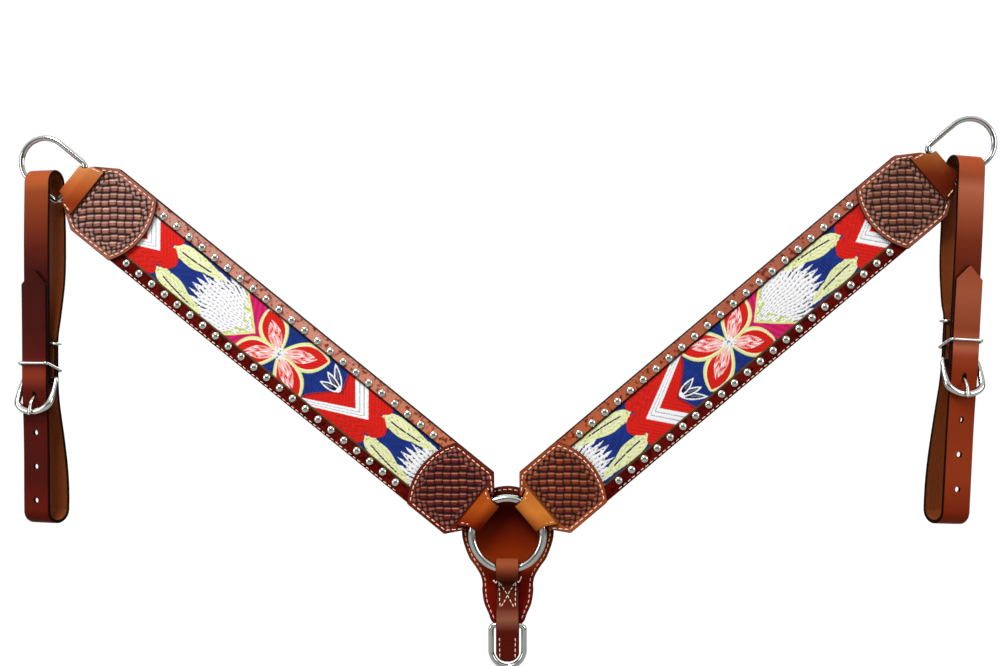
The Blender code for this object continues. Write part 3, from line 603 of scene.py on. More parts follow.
def embroidery(u, w):
    """Colour and thread height at each point; u runs away from the ring, w across, both in design units."""
    speck = hash2(np.floor(u / 0.9), np.floor(w / 1.3))
    drift = 1.6 * np.sin(u * 0.11 + w * 0.07) + 1.1 * np.sin(w * 0.23 - u * 0.05)
    ground = 0.5 + 0.5 * np.sin((u * 0.94 - w * 0.35 + drift) * 2.4)
    patchy = 0.5 + 0.5 * np.sin(u * 0.35 + 2 * np.sin(w * 0.3)) * np.sin(w * 0.42 + 1.5 * np.sin(u * 0.21))
    depth = np.clip(0.15 + 0.55 * ground * (0.6 + 0.4 * speck) + 0.35 * patchy, 0, 1)[:, None]
    colour = C["navy"] + (C["blue"] * 1.25 - C["navy"]) * depth
    height = 0.22 * ground

    def lay(mask, rgb, rise, shade=1.0):
        colour[mask] = rgb * (np.zeros(len(u)) + shade)[mask][:, None]
        height[mask] = (np.zeros(len(u)) + rise)[mask]

    def piping(mask, off, edge, rgb, wide, rise):
        """A rounded cord lying along an edge: off is the distance inward from it."""
        on = mask & (off > edge) & (off < edge + wide)
        bow = np.sqrt(np.clip(1 - ((off - edge) / wide * 2 - 1) ** 2, 0, 1))
        # painted shade: the cord is lighter along its crown and darker at its sides
        lay(on, rgb, rise * (0.45 + 0.55 * bow), 0.62 + 0.42 * bow)

    for turn in (-1, 0, 1):
        x = u - turn * PERIOD
        # the red heart, with the white chevron across it and knotted stitches at one side
        up, down = np.maximum(w, 0), np.maximum(-w, 0)
        lobes = np.where(w > 12, 141 + (w - 21) ** 2 * 0.12,
                         np.where(w < -11, 146 + (w + 18) ** 2 * 0.12, 133 + w * w * 0.07))
        outer = 155 + 0.80 * np.maximum(w - 1, 0) + 2.05 * np.maximum(1 - w, 0)
        inner = 172 + 0.82 * np.maximum(w - 1.7, 0) + 1.90 * np.maximum(1.7 - w, 0)
        top = 193 + 0.35 * np.maximum(w - 5, 0) + 1.55 * np.maximum(5 - w, 0) - 0.018 * np.maximum(5 - w, 0) ** 2
        rows = 0.5 + 0.5 * np.sin((x - 0.8 * up - 2.0 * down) * 1.5 + 0.5 * drift)
        red_shade = 0.74 + 0.26 * rows + 0.14 * (speck - 0.5)
        lay((x > lobes) & (x < outer), C["red"], 0.42 + 0.22 * rows, red_shade)
        knot = np.hypot(np.mod(x + w * 0.5 + 2.2 * np.sin(w * 0.7), 7.4) - 3.7,
                        np.mod(w - x * 0.4 + 1.9 * np.sin(x * 0.6), 6.2) - 3.1)
        knots = (x > lobes + 2) & (x < np.minimum(lobes + 36, outer - 3)) & (w < -6)
        ripple = np.cos(knot * 1.7)
        lay(knots, C["red"], 0.5 + 0.22 * ripple, 0.80 + 0.14 * ripple + 0.12 * (speck - 0.5))
        lay((x > inner) & (x < top), C["red"], 0.42 + 0.22 * rows, red_shade)
        lay((x > top - 2.4) & (x < top), C["deep"], 0.6, 0.7 + 0.3 * rows)
        white = (x >= outer) & (x <= inner)
        place = np.clip((x - outer) / np.maximum(inner - outer, 1), 0, 1)
        bars = np.abs(np.mod(place * 3.0 + 0.02 * np.sin(x), 1.0) - 0.5) * 2
        dashed = np.mod(np.abs(w) * 0.5 + np.floor(place * 3) * 0.4, 1.0)
        lay(white, C["white"], 0.70 - 0.30 * bars ** 4, 1.0 - 0.08 * bars ** 2)
        lay(white & (bars > 0.84) & (dashed > 0.12) & (place > 0.1) & (place < 0.9), C["slate"], 0.35)
        # sprig of three outlined leaves
        for tip, wide in (((216, 24), 3.6), ((217.5, 12.6), 3.4), ((217, 0.5), 3.6)):
            t, off = leaf_coords(x, w, (194.5, 5), tip)
            half = wide * np.sin(math.pi * np.clip(t, 0, 1) ** 0.85) ** 0.8
            inside = (t > 0) & (t < 1) & (np.abs(off) < half)
            lay(inside, C["white"], 0.6)
            core = inside & (np.abs(off) < half - 1.25) & (t > 0.2) & (t < 0.9)
            lay(core, C["navy"], 0.25)
            lay(core & (np.abs(off) < 0.7) & (t > 0.4) & (t < 0.75), C["slate"], 0.4)
        # thistle head: long stitches fanning out from the calyx
        spread = np.arctan2(w + 3, x - 262)
        reach = np.hypot(x - 262, w + 3)
        limit = 118 - 10 * np.abs(spread / 0.22) ** 1.6
        tuft = spread * 15.5 + 0.5 + 0.3 * np.sin(spread * 9)
        teeth = np.abs(np.mod(tuft, 1.0) - 0.5) * 2
        tall = 11 + 8 * hash2(np.floor(tuft), 2.0)
        fringe = limit - tall * teeth ** 0.9
        cup = 299 + np.abs(w + 3)
        fluff = (x > cup) & (reach < fringe)
        strand = np.sin(spread * 150 + 1.3 * np.sin(reach * 0.21))
        fibre = np.sin(spread * 420 + reach * 0.5)
        lay(fluff, C["white"], 0.62 + 0.20 * strand + 0.06 * fibre, 0.93 + 0.06 * strand + 0.03 * fibre)
        dash = np.mod(reach / 5.2 + 0.5 * hash2(np.floor(spread * 24), 7.0) * 4, 1.0)
        lay(fluff & (strand < -0.80) & (dash < 0.42), C["slate"], 0.30)
        stray = hash2(np.floor(reach / 2.0 + spread * 40), np.floor(spread * 30))
        lay(fluff & (reach > fringe - 16) & (strand < -0.35) & (stray > 0.72), C["navy"], 0.2)
        lay(fluff & (x < cup + 13 - np.abs(w) * 0.25) & (hash2(np.floor(x / 2.2), np.floor(w / 1.6)) > 0.66),
            C["lime"] * 0.9, 0.45)
        # calyx: two sepals with a pale inner line
        over = np.abs(w + 3)
        rim = 299 + over + 0.004 * over ** 2
        base = 290 + 0.52 * over
        shade = 0.66 + 0.36 * (0.5 + 0.5 * np.sin((x - base) * 1.0 + 0.3 * drift))
        lay((x > base) & (x < rim), C["magenta"], 0.45 + 0.15 * shade, shade)
        piping(over > -1, x - rim + 1.8, 0.0, C["lime_pale"], 2.8, 0.75)
        # two leaves: a smooth side, a lobed side and a dark vein
        for tip, end, wide, lobed in (((353, 19), (414, 14), 11.2, -1), ((352, -23), (415, -15), 10.4, 1)):
            t, off = leaf_coords(x, w, tip, end)
            c = np.clip(t, 0, 1)
            side = off * lobed
            shape = c ** 0.72 * np.sqrt(np.clip(1.03 - c ** 4.2, 0, 2))
            bumps = 1 + np.where(side > 0, 0.22 * np.abs(np.sin(c * 7.2 + 0.5)) - 0.04, 0.02)
            half = wide * shape * bumps * 1.06
            inside = (t > 0) & (t < 1.03) & (np.abs(off) < half)
            depth_in = half - np.abs(off)
            veins = 0.5 + 0.5 * np.sin(t * 62 - np.abs(off) * 1.5)
            lay(inside, C["cream"], 0.50 + 0.20 * veins, 0.86 + 0.14 * veins)
            ring = np.abs(np.mod(depth_in / 3.4, 1.0) - 0.5) * 2
            lay(inside & (depth_in < 7.2) & (ring > 0.84) & (side > 0), C["lime"], 0.45, 0.75 + 0.2 * veins)
            piping(inside, depth_in, 0.0, C["lime_pale"] * 0.5 + C["cream"] * 0.5, 1.6, 0.8)
            lay(inside & (np.abs(off + 1.6 * np.sin(c * 3)) < 0.7) & (c > 0.28) & (c < 0.86), C["navy"], 0.25)
            lay(inside & (hash2(np.floor(x / 1.5), np.floor(w / 1.5)) > 0.95), C["lime"] * 0.8, 0.45)
        # flower
        centre = (266, -3.6)
        for tip in ((302, 25), (221, 22), (222, -32), (306, -31)):
            t, off = leaf_coords(x, w, centre, tip)
            c = np.clip(t, 0, 1)
            half = 15.2 * np.sin(math.pi * (0.04 + 0.96 * c) ** 1.22) ** 0.72
            inside = (t > 0.02) & (t < 1.0) & (np.abs(off) < half)
            depth_in = half - np.abs(off)
            lay(inside, C["lime"], 0.4, 0.55)
            piping(inside, depth_in, 0.0, C["lime_pale"], 1.7, 0.8)
            piping(inside, depth_in, 1.7, C["cream"], 2.1, 0.9)
            body = inside & (depth_in > 3.8) & (t < 0.955)
            satin = 0.5 + 0.5 * np.sin(off * 2.3 + 0.7 * np.sin(t * 26))
            lay(body, C["red"], 0.55 + 0.16 * satin, 0.70 + 0.34 * satin)
            lens = 6.6 * np.sin(math.pi * np.clip((t - 0.02) / 0.72, 0, 1) ** 1.05) ** 0.8
            heart = body & (np.abs(off) < lens)
            streak = hash2(np.floor(off * 0.9 + 9 + 0.4 * np.sin(t * 20)), np.floor(t * 11 + 0.5 * off))
            lay(heart, C["pink"], 0.75 + 0.15 * satin, 0.86 + 0.16 * satin)
            lay(heart & (streak > 0.80), C["red"], 0.6)
            lay(heart & (streak < 0.22), C["white"], 0.85)
        middle = np.hypot(x - centre[0], w - centre[1])
        angle = np.arctan2(w - centre[1], x - centre[0])
        lay(middle < 5.4 + 1.5 * np.sin(angle * 9), C["white"], 0.95, 0.9 + 0.1 * np.cos(angle * 14))
        lay((middle < 5.2) & (hash2(np.floor(x / 1.4), np.floor(w / 1.4)) > 0.88), C["slate"], 0.7)
    return np.clip(colour, 0, 1), height


# ---------- arms ----------

RING_END = [(40.8, 22.3), (31.3, 17.2), (30.2, 19.2), (43.0, 34.5)]
SHOULDER_END = [(467.0, 34.5), (485.0, 22.5)]


def patch_arc(apex, bulge, inward=0.0, half=ARM_HALF):
    """The curved end of a patch; bulge is 1 where it faces the shoulder and -1 where it faces the ring."""
    radius = PATCH_RADIUS - inward
    reach = math.degrees(math.asin(min(half / radius, 1)))
    middle = 0 if bulge > 0 else 180
    return arc(apex - bulge * PATCH_RADIUS, 0, radius, middle + bulge * reach, middle - bulge * reach, 40)


def arc_at(apex, bulge, inward):
    """The same curve as a place along the arm for each place across."""
    middle = apex - bulge * PATCH_RADIUS
    return lambda b: middle + bulge * np.sqrt((PATCH_RADIUS - inward) ** 2 - b ** 2)


def tooling(name, where, sag, a_low, a_high, palette, body):
    """Basket-weave stamping raised on a patch; a_low and a_high give its ends at each place across."""
    rows, cols = 118, 130
    b = np.repeat(np.linspace(-TOOLED_HALF, TOOLED_HALF, rows), cols)
    lows, highs = a_low(b), a_high(b)
    a = lows + (highs - lows) * np.tile(np.linspace(0, 1, cols), rows)
    world = where.at(np.stack([a, b, np.zeros(a.size)], 1)) / MM
    x = world[:, 0]
    z = world[:, 2] + 0.0016 * (x - x.mean()) ** 2 * sag
    cell_x, cell_z = 7.0, 6.1
    row = np.floor(z / cell_z)
    slide = 0.10 * np.sin(row * 1.9)
    column = np.floor(x / cell_x + slide)
    across = np.abs(np.mod(x / cell_x + slide, 1.0) - 0.5) * 2
    rise_in = np.mod(z / cell_z + 0.05 * np.sin(column * 2.3), 1.0)
    upright = np.abs(rise_in - 0.5) * 2
    pillow = np.clip(1 - across ** 5, 0, 1) * np.clip(1 - upright ** 3.2, 0, 1)
    bars = 0.5 + 0.5 * np.cos(2 * math.pi * rise_in * 3)
    wall = np.minimum(np.minimum(a - lows, highs - a), TOOLED_HALF - np.abs(b))
    band = np.clip((wall - 4.4) / 0.8, 0, 1)
    petals = np.clip(np.abs(np.sin((a + b) * 0.50)) * np.abs(np.sin((a - b) * 0.50)) * 1.35, 0, 1) ** 1.6
    shape = band * pillow * (0.86 + 0.14 * bars) + (1 - band) * (0.15 + 0.75 * petals)
    depth = PATCH_FRONT - 0.05 - 0.75 * shape * np.clip(wall / 0.7, 0, 1)
    depth[wall <= 0.01] = PATCH_FRONT + 0.1
    light, mid, dark = (np.array(srgb(*rgb)) for rgb in palette)
    # painted shade: the gaps between the cells and around the crescent petals are painted near black
    tone = np.clip(shape * 1.9 - 0.85, 0, 1)[:, None]
    paint = dark * (1 - tone) + mid * tone
    # painted highlight: a light line along each cell's top edge and on the crescent petals
    crest_highlight = band * pillow * np.clip((rise_in - 0.60) / 0.1, 0, 1) * np.clip((0.86 - rise_in) / 0.1, 0, 1)
    crest_highlight = (crest_highlight * (0.55 + 0.45 * hash2(row, column)) + (1 - band) * 0.42 * petals)[:, None]
    paint = (paint * (1 - crest_highlight) + light * crest_highlight) * (0.82 + 0.36 * hash2(row + 3, column))[:, None]
    paint[:, 3] = 1
    last = (rows - 1) * cols
    rim = list(range(cols)) + [i * cols + cols - 1 for i in range(1, rows)]
    rim += list(range(last + cols - 2, last - 1, -1)) + [i * cols for i in range(rows - 2, 0, -1)]
    faces = grid_faces(rows, cols) + [tuple(reversed(rim))]
    solid(name, (np.stack([a, b, depth], 1), faces), where, TOOLED, body, paint=paint)


# per patch: the painted highlight colour, the cells' own colour, and the painted shade colour of the gaps
WEAVE = {
    "left_ring": ((206, 120, 100), (106, 28, 18), (24, 4, 4)),
    "right_ring": ((196, 112, 76), (124, 46, 24), (34, 8, 4)),
    "left_shoulder": ((214, 168, 152), (152, 98, 82), (40, 14, 10)),
    "right_shoulder": ((200, 144, 120), (128, 72, 52), (34, 12, 8)),
}


def ring_end(b):
    return 41.2 + 0.252 * np.maximum(np.abs(b) - 21, 0)


def shoulder_end(b):
    return np.minimum(474.3, 474.3 - 1.2 * np.maximum(np.abs(b) - 24.2, 0))


def build_patches(name, side, body):
    where = arm_frame(side)
    lines = []
    for place, apex, bulge, corners, seam in (
        ("ring", RING_APEX, 1, [(38.7, 21.1)] + RING_END[1:], [(33.2, 20.2), (44.3, 31.4)]),
        ("shoulder", SHOULDER_APEX, -1, [(485.7, 22.0)] + SHOULDER_END[::-1], [(483.2, 20.6), (466.0, 31.4)]),
    ):
        label = f"{name}_{place}"
        outline = corners + [tuple(p) for p in patch_arc(apex, bulge)] + turned_over(corners)
        part = plate(outline, PATCH_FRONT, PATCH_BACK)
        solid(label + "_patch_leather", part, where, PATCH[label], body, label + "_patch")
        curve = patch_arc(apex, bulge, 3.0, 31.4)
        seam = seam + [(curve[0][0] - bulge * 1.5, 31.4)]
        lines += [(line, PATCH_FRONT, -1) for line in (seam, [(x, -y) for x, y in seam], curve)]
    ring_curve = arc_at(RING_APEX, 1, TOOLED_MARGIN)
    shoulder_curve = arc_at(SHOULDER_APEX, -1, TOOLED_MARGIN)
    tooling(name + "_ring_tooling", where, 0.4, ring_end, ring_curve, WEAVE[name + "_ring"], body)
    tooling(name + "_shoulder_tooling", where, 1.0, shoulder_curve, shoulder_end, WEAVE[name + "_shoulder"], body)
    thread(name + "_patch_thread", lines, where, body)


def dome(x, y):
    """One stud: a low dome with a rim that goes into the leather."""
    around = 20
    rings = [(math.sin(t), math.cos(t)) for t in np.linspace(0.12, 1.0, 8) * math.pi / 2] + [(1.08, -0.25)]
    verts = [(x, y, BORDER_FRONT - STUD_RISE)]
    for s, c in rings:
        for k in range(around):
            angle = 2 * math.pi * k / around
            verts.append((x + STUD_RADIUS * s * math.cos(angle), y + STUD_RADIUS * s * math.sin(angle),
                          BORDER_FRONT - STUD_RISE * c))
    faces = [(0, 1 + k, 1 + (k + 1) % around) for k in range(around)]
    faces += [face[::-1] for face in bands(len(rings), around, first=1)]
    last = 1 + (len(rings) - 1) * around
    faces.append(tuple(range(last, last + around))[::-1])
    return np.array(verts), faces


def build_borders(name, side, body):
    where = arm_frame(side)
    for label, sign in (("upper", 1), ("lower", -1)):
        outline = [(33.5, 23.0), (42.4, BORDER_EDGE), (467.9, BORDER_EDGE), (484.2, 23.0)]
        part = plate([(x, sign * y) for x, y in outline], BORDER_FRONT, BORDER_BACK, 0.6)
        mat = UPPER_LIT[name] if label == "upper" else LOWER
        solid(f"{name}_{label}_border_leather", part, where, mat, body, f"{name}_{label}_border")
        domes = join([dome(FIRST_STUD + STUD_PITCH * i, sign * STUD_ROW) for i in range(STUDS)])
        solid(f"{name}_{label}_studs", domes, where, STUD_NICKEL, body)

    def row(y, depth, out, start=99.0, end=408.0):
        return [(start, y), (end, y)], depth, out

    lower = [row(-32.4, BORDER_FRONT, -1)]
    upper = [row(32.6, BORDER_FRONT, -1)]
    rear = [row(s * 31.8, LINER_BACK, 1, 46.0, 466.0) for s in (1, -1)]
    rear += [row(s * 22.0, LINER_BACK, 1) for s in (1, -1)]
    thread(name + "_border_thread", lower, where, body, pitch=5.0, length=3.4, radius=0.38)
    thread(name + "_upper_thread", upper, where, body, kind=WAXED, pitch=5.0, length=3.0, radius=0.32)
    thread(name + "_liner_thread", rear, where, body, pitch=5.0, length=3.5, radius=0.42)


def build_fabric(name, side, body):
    """The embroidered panel, a little crowned, with every thread area standing at its own height."""
    hand = 1.0 if name == "left" else -1.0
    near, far, half = PANEL_NEAR, PANEL_FAR, PANEL_HALF
    cols, rows = int((far - near) / 0.5), 104
    a, b = (grid.ravel() for grid in np.meshgrid(np.linspace(near, far, cols), np.linspace(-half, half, rows)))
    design = 0.88
    paint, height = embroidery((a - 20.8) / design, hand * b / design)
    # painted shadow: the fabric darkens to near black along the upper border, where the raised border shades it
    under = np.clip((b - 20.4) / 1.4, 0, 1) ** 1.5
    paint[:, :3] *= (1 - 0.93 * under)[:, None]
    selvage = np.clip((-20.9 - b) / 0.7, 0, 1)[:, None]
    fray = (0.75 + 0.3 * hash2(np.floor(a / 1.2), 1.0))[:, None]
    paint = paint * (1 - selvage) + C["brown"] * fray * selvage
    paint[:, 3] = 1
    crown = 0.75 * (1 - (b / half) ** 2)
    corners = [(near, -half), (far, -half), (far, half), (near, half)]
    verts = np.concatenate([
        np.stack([a, b, -0.35 - crown - height * 0.42], 1), [(x, y, PANEL_BACK) for x, y in corners],
    ])
    paint = np.concatenate([paint, np.tile((0.02, 0.03, 0.1, 1), (4, 1))])
    base = rows * cols
    near_side, far_side = range(0, base, cols), range(cols - 1, base, cols)
    faces = grid_faces(rows, cols) + [
        tuple(range(cols))[::-1] + (base, base + 1),
        tuple(range(base - cols, base)) + (base + 2, base + 3),
        tuple(near_side) + (base + 3, base),
        tuple(far_side)[::-1] + (base + 1, base + 2),
        (base + 3, base + 2, base + 1, base),
    ]
    piece = solid(name + "_embroidery", (verts, faces), arm_frame(side), CLOTH, body, name + "_fabric_panel", paint)


def build_chapes(name, side):
    where = arm_frame(side)
    profile = Frame((0, 0, 0), where.axes[0], (0, 1, 0), where.axes[1])
    front = [(40.0, -5.95), (36.5, -6.2), (32.8, -6.4)]
    back = [(33.4, 5.3), (35.6, 3.6), (38.2, 3.0)]
    fold_at = 28.95
    ring_path = even(smooth_line(front + [tuple(p) for p in arc(fold_at, 0, 7.1, 280, 58, 18)] + back, 3), 0.8)
    ring_half = np.interp(ring_path[:, 0], [20, 29, 40], [14.5, 15, 21.5])
    ring_half[(ring_path[:, 1] > 0) & (ring_path[:, 0] > fold_at)] = 15
    front = [(474.5, -5.95), (480.0, -5.95), (486.3, -5.95)]
    dee_path = even(np.vstack([front, arc(DEE_BAR, 0, 4.05, -76, 98, 16), [(485.5, 3.2)]]), 0.8)
    dee_half = np.interp(dee_path[:, 0], [474.5, 485, 490.5, 498], [24.5, 22, 15.6, 14.5])
    for place, path, half, body, start, end in (
        ("ring", ring_path, ring_half, name + "_chape", (30.5, 12.9), (38.6, 17.4)),
        ("shoulder", dee_path, dee_half, name + "_arm", (477.5, 21.6), (484.6, 19.9)),
    ):
        label = f"{name}_{place}"
        part = ribbon(path, CHAPE_THICKNESS, half, 0.7, 15)
        solid(label + "_chape_leather", part, profile, CHAPE[label], body, label + "_chape")
        seams = [([(start[0], s * start[1]), (end[0], s * end[1])], CHAPE_THREAD_DEPTH, -1) for s in (1, -1)]
        thread(label + "_chape_thread", seams, where, body, pitch=4.4, length=3.2)


def build_arm(name, side):
    body = name + "_arm"
    half_outline = RING_END + SHOULDER_END
    part = plate(half_outline + turned_over(half_outline), LINER_FRONT, LINER_BACK, 0.8)
    solid(name + "_arm_lining", part, arm_frame(side), LINER, body, name + "_arm_liner")
    build_borders(name, side, body)
    build_fabric(name, side, body)
    build_patches(name, side, body)
    build_chapes(name, side)


# ---------- hardware ----------

def dee_outline(half, straight, corner):
    """A D with its bar at x = 0."""
    points = np.vstack([
        arc(corner, -half + corner, corner, 180, 270, 8), arc(straight, 0, half, -90, 90, 40),
        arc(corner, half - corner, corner, 90, 180, 8),
    ])
    return even(points, 1.2, closed=True)


def build_dee(name, side):
    where = arm_frame(side)
    flat = dee_outline(21, 31.5, 4.5)
    path = np.column_stack([flat[:, 0] + DEE_BAR, flat[:, 1] + side["dee_shift"], np.zeros(len(flat))])
    solid(name + "_dee_wire", tube(path, DEE_WIRE, True, 18), where, NICKEL, name + "_dee", name + "_dee")


def tug_path(side):
    bar, tip, length = side["bar"], side["tip"], side["length"]

    def down(points):
        return [(d, -h) for d, h in points]

    path = [(-2.2, -bar + 34), (-2.2, -bar + 17)] + [tuple(p) for p in arc(-6.3, -bar, 4.1, 0, -180, 12)]
    path += down([(-10.4, bar - 20), (-10.8, 130), (-11.3, 95), (-11.5, 60), (-11.0, 30), (-10.62, 14)])
    path += [tuple(p) for p in arc(0, -12.2, 10.6, 178, 0, 14)]
    path += down([(10.75, 15), (11.6, 30), (12.8, 60), (12.0, 95), (6.4, 126), (2.2, bar - 40), (1.3, bar - 32),
                  (1.3, bar - 20), (1.3, bar - 8), (1.6, bar + 4), (3.0, bar + 18), (8.0, bar + 50),
                  (10.9, length - 30)])
    path += [tuple(p) for p in arc(0, -length + 12.5, 10.9, 0, -180, 14)]
    path += down([(-11.1, length - 32), (-11.4, bar + 60), (-12.5, bar + 29), (-13.8, bar + 10), (-14.0, bar),
                  (-14.0, bar - 20), (-14.4, 130), (-14.9, tip + 14), (-15.0, tip + 8), (-15.0, tip)])
    return path


def punch(height, depth, radius, length, stretch=1.0):
    """A round or long hole to cut through the strap, at a distance below the top of the loop."""
    ring = arc(0, 0, radius, 0, 360, 24)[:-1]
    verts = [(depth + end, y * stretch - height, x) for end in (-length / 2, length / 2) for x, y in ring]
    return np.array(verts), end_caps(2, 24) + bands(2, 24)


def cut_out(strap, tools, where):
    """Cuts the closed tools out of the strap and leaves a plain mesh."""
    fixed = []
    for verts, faces in tools:
        world = where.at(verts)
        fixed.append((world, outward(world - world.mean(0), faces)))
    verts, faces = join(fixed)
    mesh = bpy.data.meshes.new("punches")
    mesh.from_pydata([tuple(v) for v in verts], [], faces)
    mesh.materials.append(strap.data.materials[0])
    punches = bpy.data.objects.new("punches", mesh)
    bpy.context.scene.collection.objects.link(punches)
    modifier = strap.modifiers.new("punch", "BOOLEAN")
    modifier.operation, modifier.object, modifier.solver = "DIFFERENCE", punches, "EXACT"
    cut = bpy.data.meshes.new_from_object(strap.evaluated_get(bpy.context.evaluated_depsgraph_get()))
    strap.modifiers.clear()
    strap.data = cut
    bpy.data.objects.remove(punches, do_unlink=True)


def crease(run, wide):
    """The pressed line that runs just inside each edge of a strap."""
    return 0.16 * np.exp(-((np.abs(wide) - 10.6) / 0.55) ** 2)


def build_tug(name, side):
    """The strap as one smooth ribbon with a pointed billet, creased edges, holes and dark burnished sides."""
    depth, up, across = tug_axes(side)
    where = Frame(side["top"], depth, up, across)
    bar = side["bar"]
    path = even(smooth_line(tug_path(side), 4), 1.1)
    steps = np.linalg.norm(np.diff(path, axis=0), axis=1)
    left_to_go = np.concatenate([np.cumsum(steps[::-1])[::-1], [0]])
    half = np.where(left_to_go < 13, np.minimum(STRAP_HALF, 0.9 + left_to_go * 0.98), STRAP_HALF)
    verts, faces, lay = ribbon(path, STRAP_THICKNESS, half, 0.9, 31, crease)
    start = bar + 20
    down = np.clip((-verts[:, 1] - start) / (side["length"] - 30 - start), 0, 1)
    back = np.clip((verts[:, 0] + 11) / 22, 0, 1)
    verts[:, 2] += side["skew"] * down ** 2 * (3 - 2 * down) * back
    body, node = name + "_tug", name + "_tug_strap"
    strap = solid(body + "_leather", (verts, faces, lay), where, STRAP[name], body, node)
    slot = [(d, h - bar - 0.45, w) for d in (-12.2, -0.45) for h in (-5.65, 5.65) for w in (-2, 2)]
    slot_faces = [(0, 1, 3, 2), (4, 6, 7, 5), (0, 4, 5, 1), (2, 3, 7, 6), (0, 2, 6, 4), (1, 5, 7, 3)]
    tools = [punch(bar + 14.9, -14.0, 2.1, 5.0, 2.0)]
    tools += [punch(side["first_hole"] + 29.7 * i, -11.5, 2.4, 8.0) for i in range(3)]
    cut_out(strap, tools + [(np.array(slot), slot_faces)], where)


def build_buckle(name, side):
    where = tug_frame(side)
    bar = side["bar"]
    right = [(14.4, -6.3, 0.0), (16.0, -6.8, 0.8), (16.7, -8.5, 4.5), (16.9, -12.7, 14.0), (15.5, -16.5, 21.5),
             (9.0, -17.8, 26.5), (0.0, -17.9, 28.3)]
    loop = right + [(-x, y, z) for x, y, z in reversed(right[:-1])]
    path = even(smooth_line(loop, 8) * (1, 1, -1) - (0, 0, bar), 1.2, closed=True)
    below = -bar - path[:, 2]
    notch = np.clip(1 - np.abs(path[:, 0]) / 3.4, 0, 1) * (below > 20)
    stout = np.interp(below, [0, 8, 16, 24], [0.92, 1.05, 1.24, 1.34]) * (1 - 0.22 * notch)
    frame_wire = tube(path, 2.2, True, 16, stout)
    solid(name + "_buckle_wire", frame_wire, where, NICKEL, name + "_buckle", name + "_buckle_frame")
    shaft = smooth_line([(-9.0, 2.5), (-9.6, 8.5), (-10.4, 11.5), (-13.6, 14.6), (-17.0, 17.5), (-20.3, 22.0),
                         (-21.9, 28.5), (-22.3, 31.0)], 5)
    path = np.column_stack([np.zeros(len(shaft)), shaft[:, 0], -bar - shaft[:, 1]])
    taper = np.interp(np.arange(len(path)), [0, len(path) - 6, len(path) - 2, len(path) - 1], [1, 1, 0.8, 0.45])
    eye = arc(-6.3, 0, 3.6, 0, 360, 36)[:-1]
    ring = np.column_stack([np.zeros(len(eye)), eye[:, 0], -bar + eye[:, 1]])
    part = join([tube(path, 1.4, False, 12, taper), tube(ring, 1.1, True, 12)])
    solid(name + "_tongue_wire", part, where, NICKEL, name + "_tongue", name + "_buckle_tongue")
    half_w, corner = 14.45, 2.4
    for kind, (front, back), slope in (("keeper", (-17.3, 4.5), 0.35), ("back_keeper", (-5.4, 4.5), 0.0)):
        label, half_d = f"{name}_{kind}", (back - front) / 2
        loop = np.vstack([
            arc(sx * (half_w - corner), sy * (half_d - corner), corner, start, start + 90, 6)
            for sx, sy, start in ((1, 1, 0), (-1, 1, 90), (-1, -1, 180), (1, -1, 270))
        ])
        loop = even(loop, 0.9, closed=True)
        deep = loop[:, 1] + (front + back) / 2
        path = np.column_stack([loop[:, 0], deep, -side[kind] - slope * (deep - front)])
        solid(label + "_wire", tube(path, 1.25, True, 12), where, NICKEL, label, label)


# ---------- centre ----------

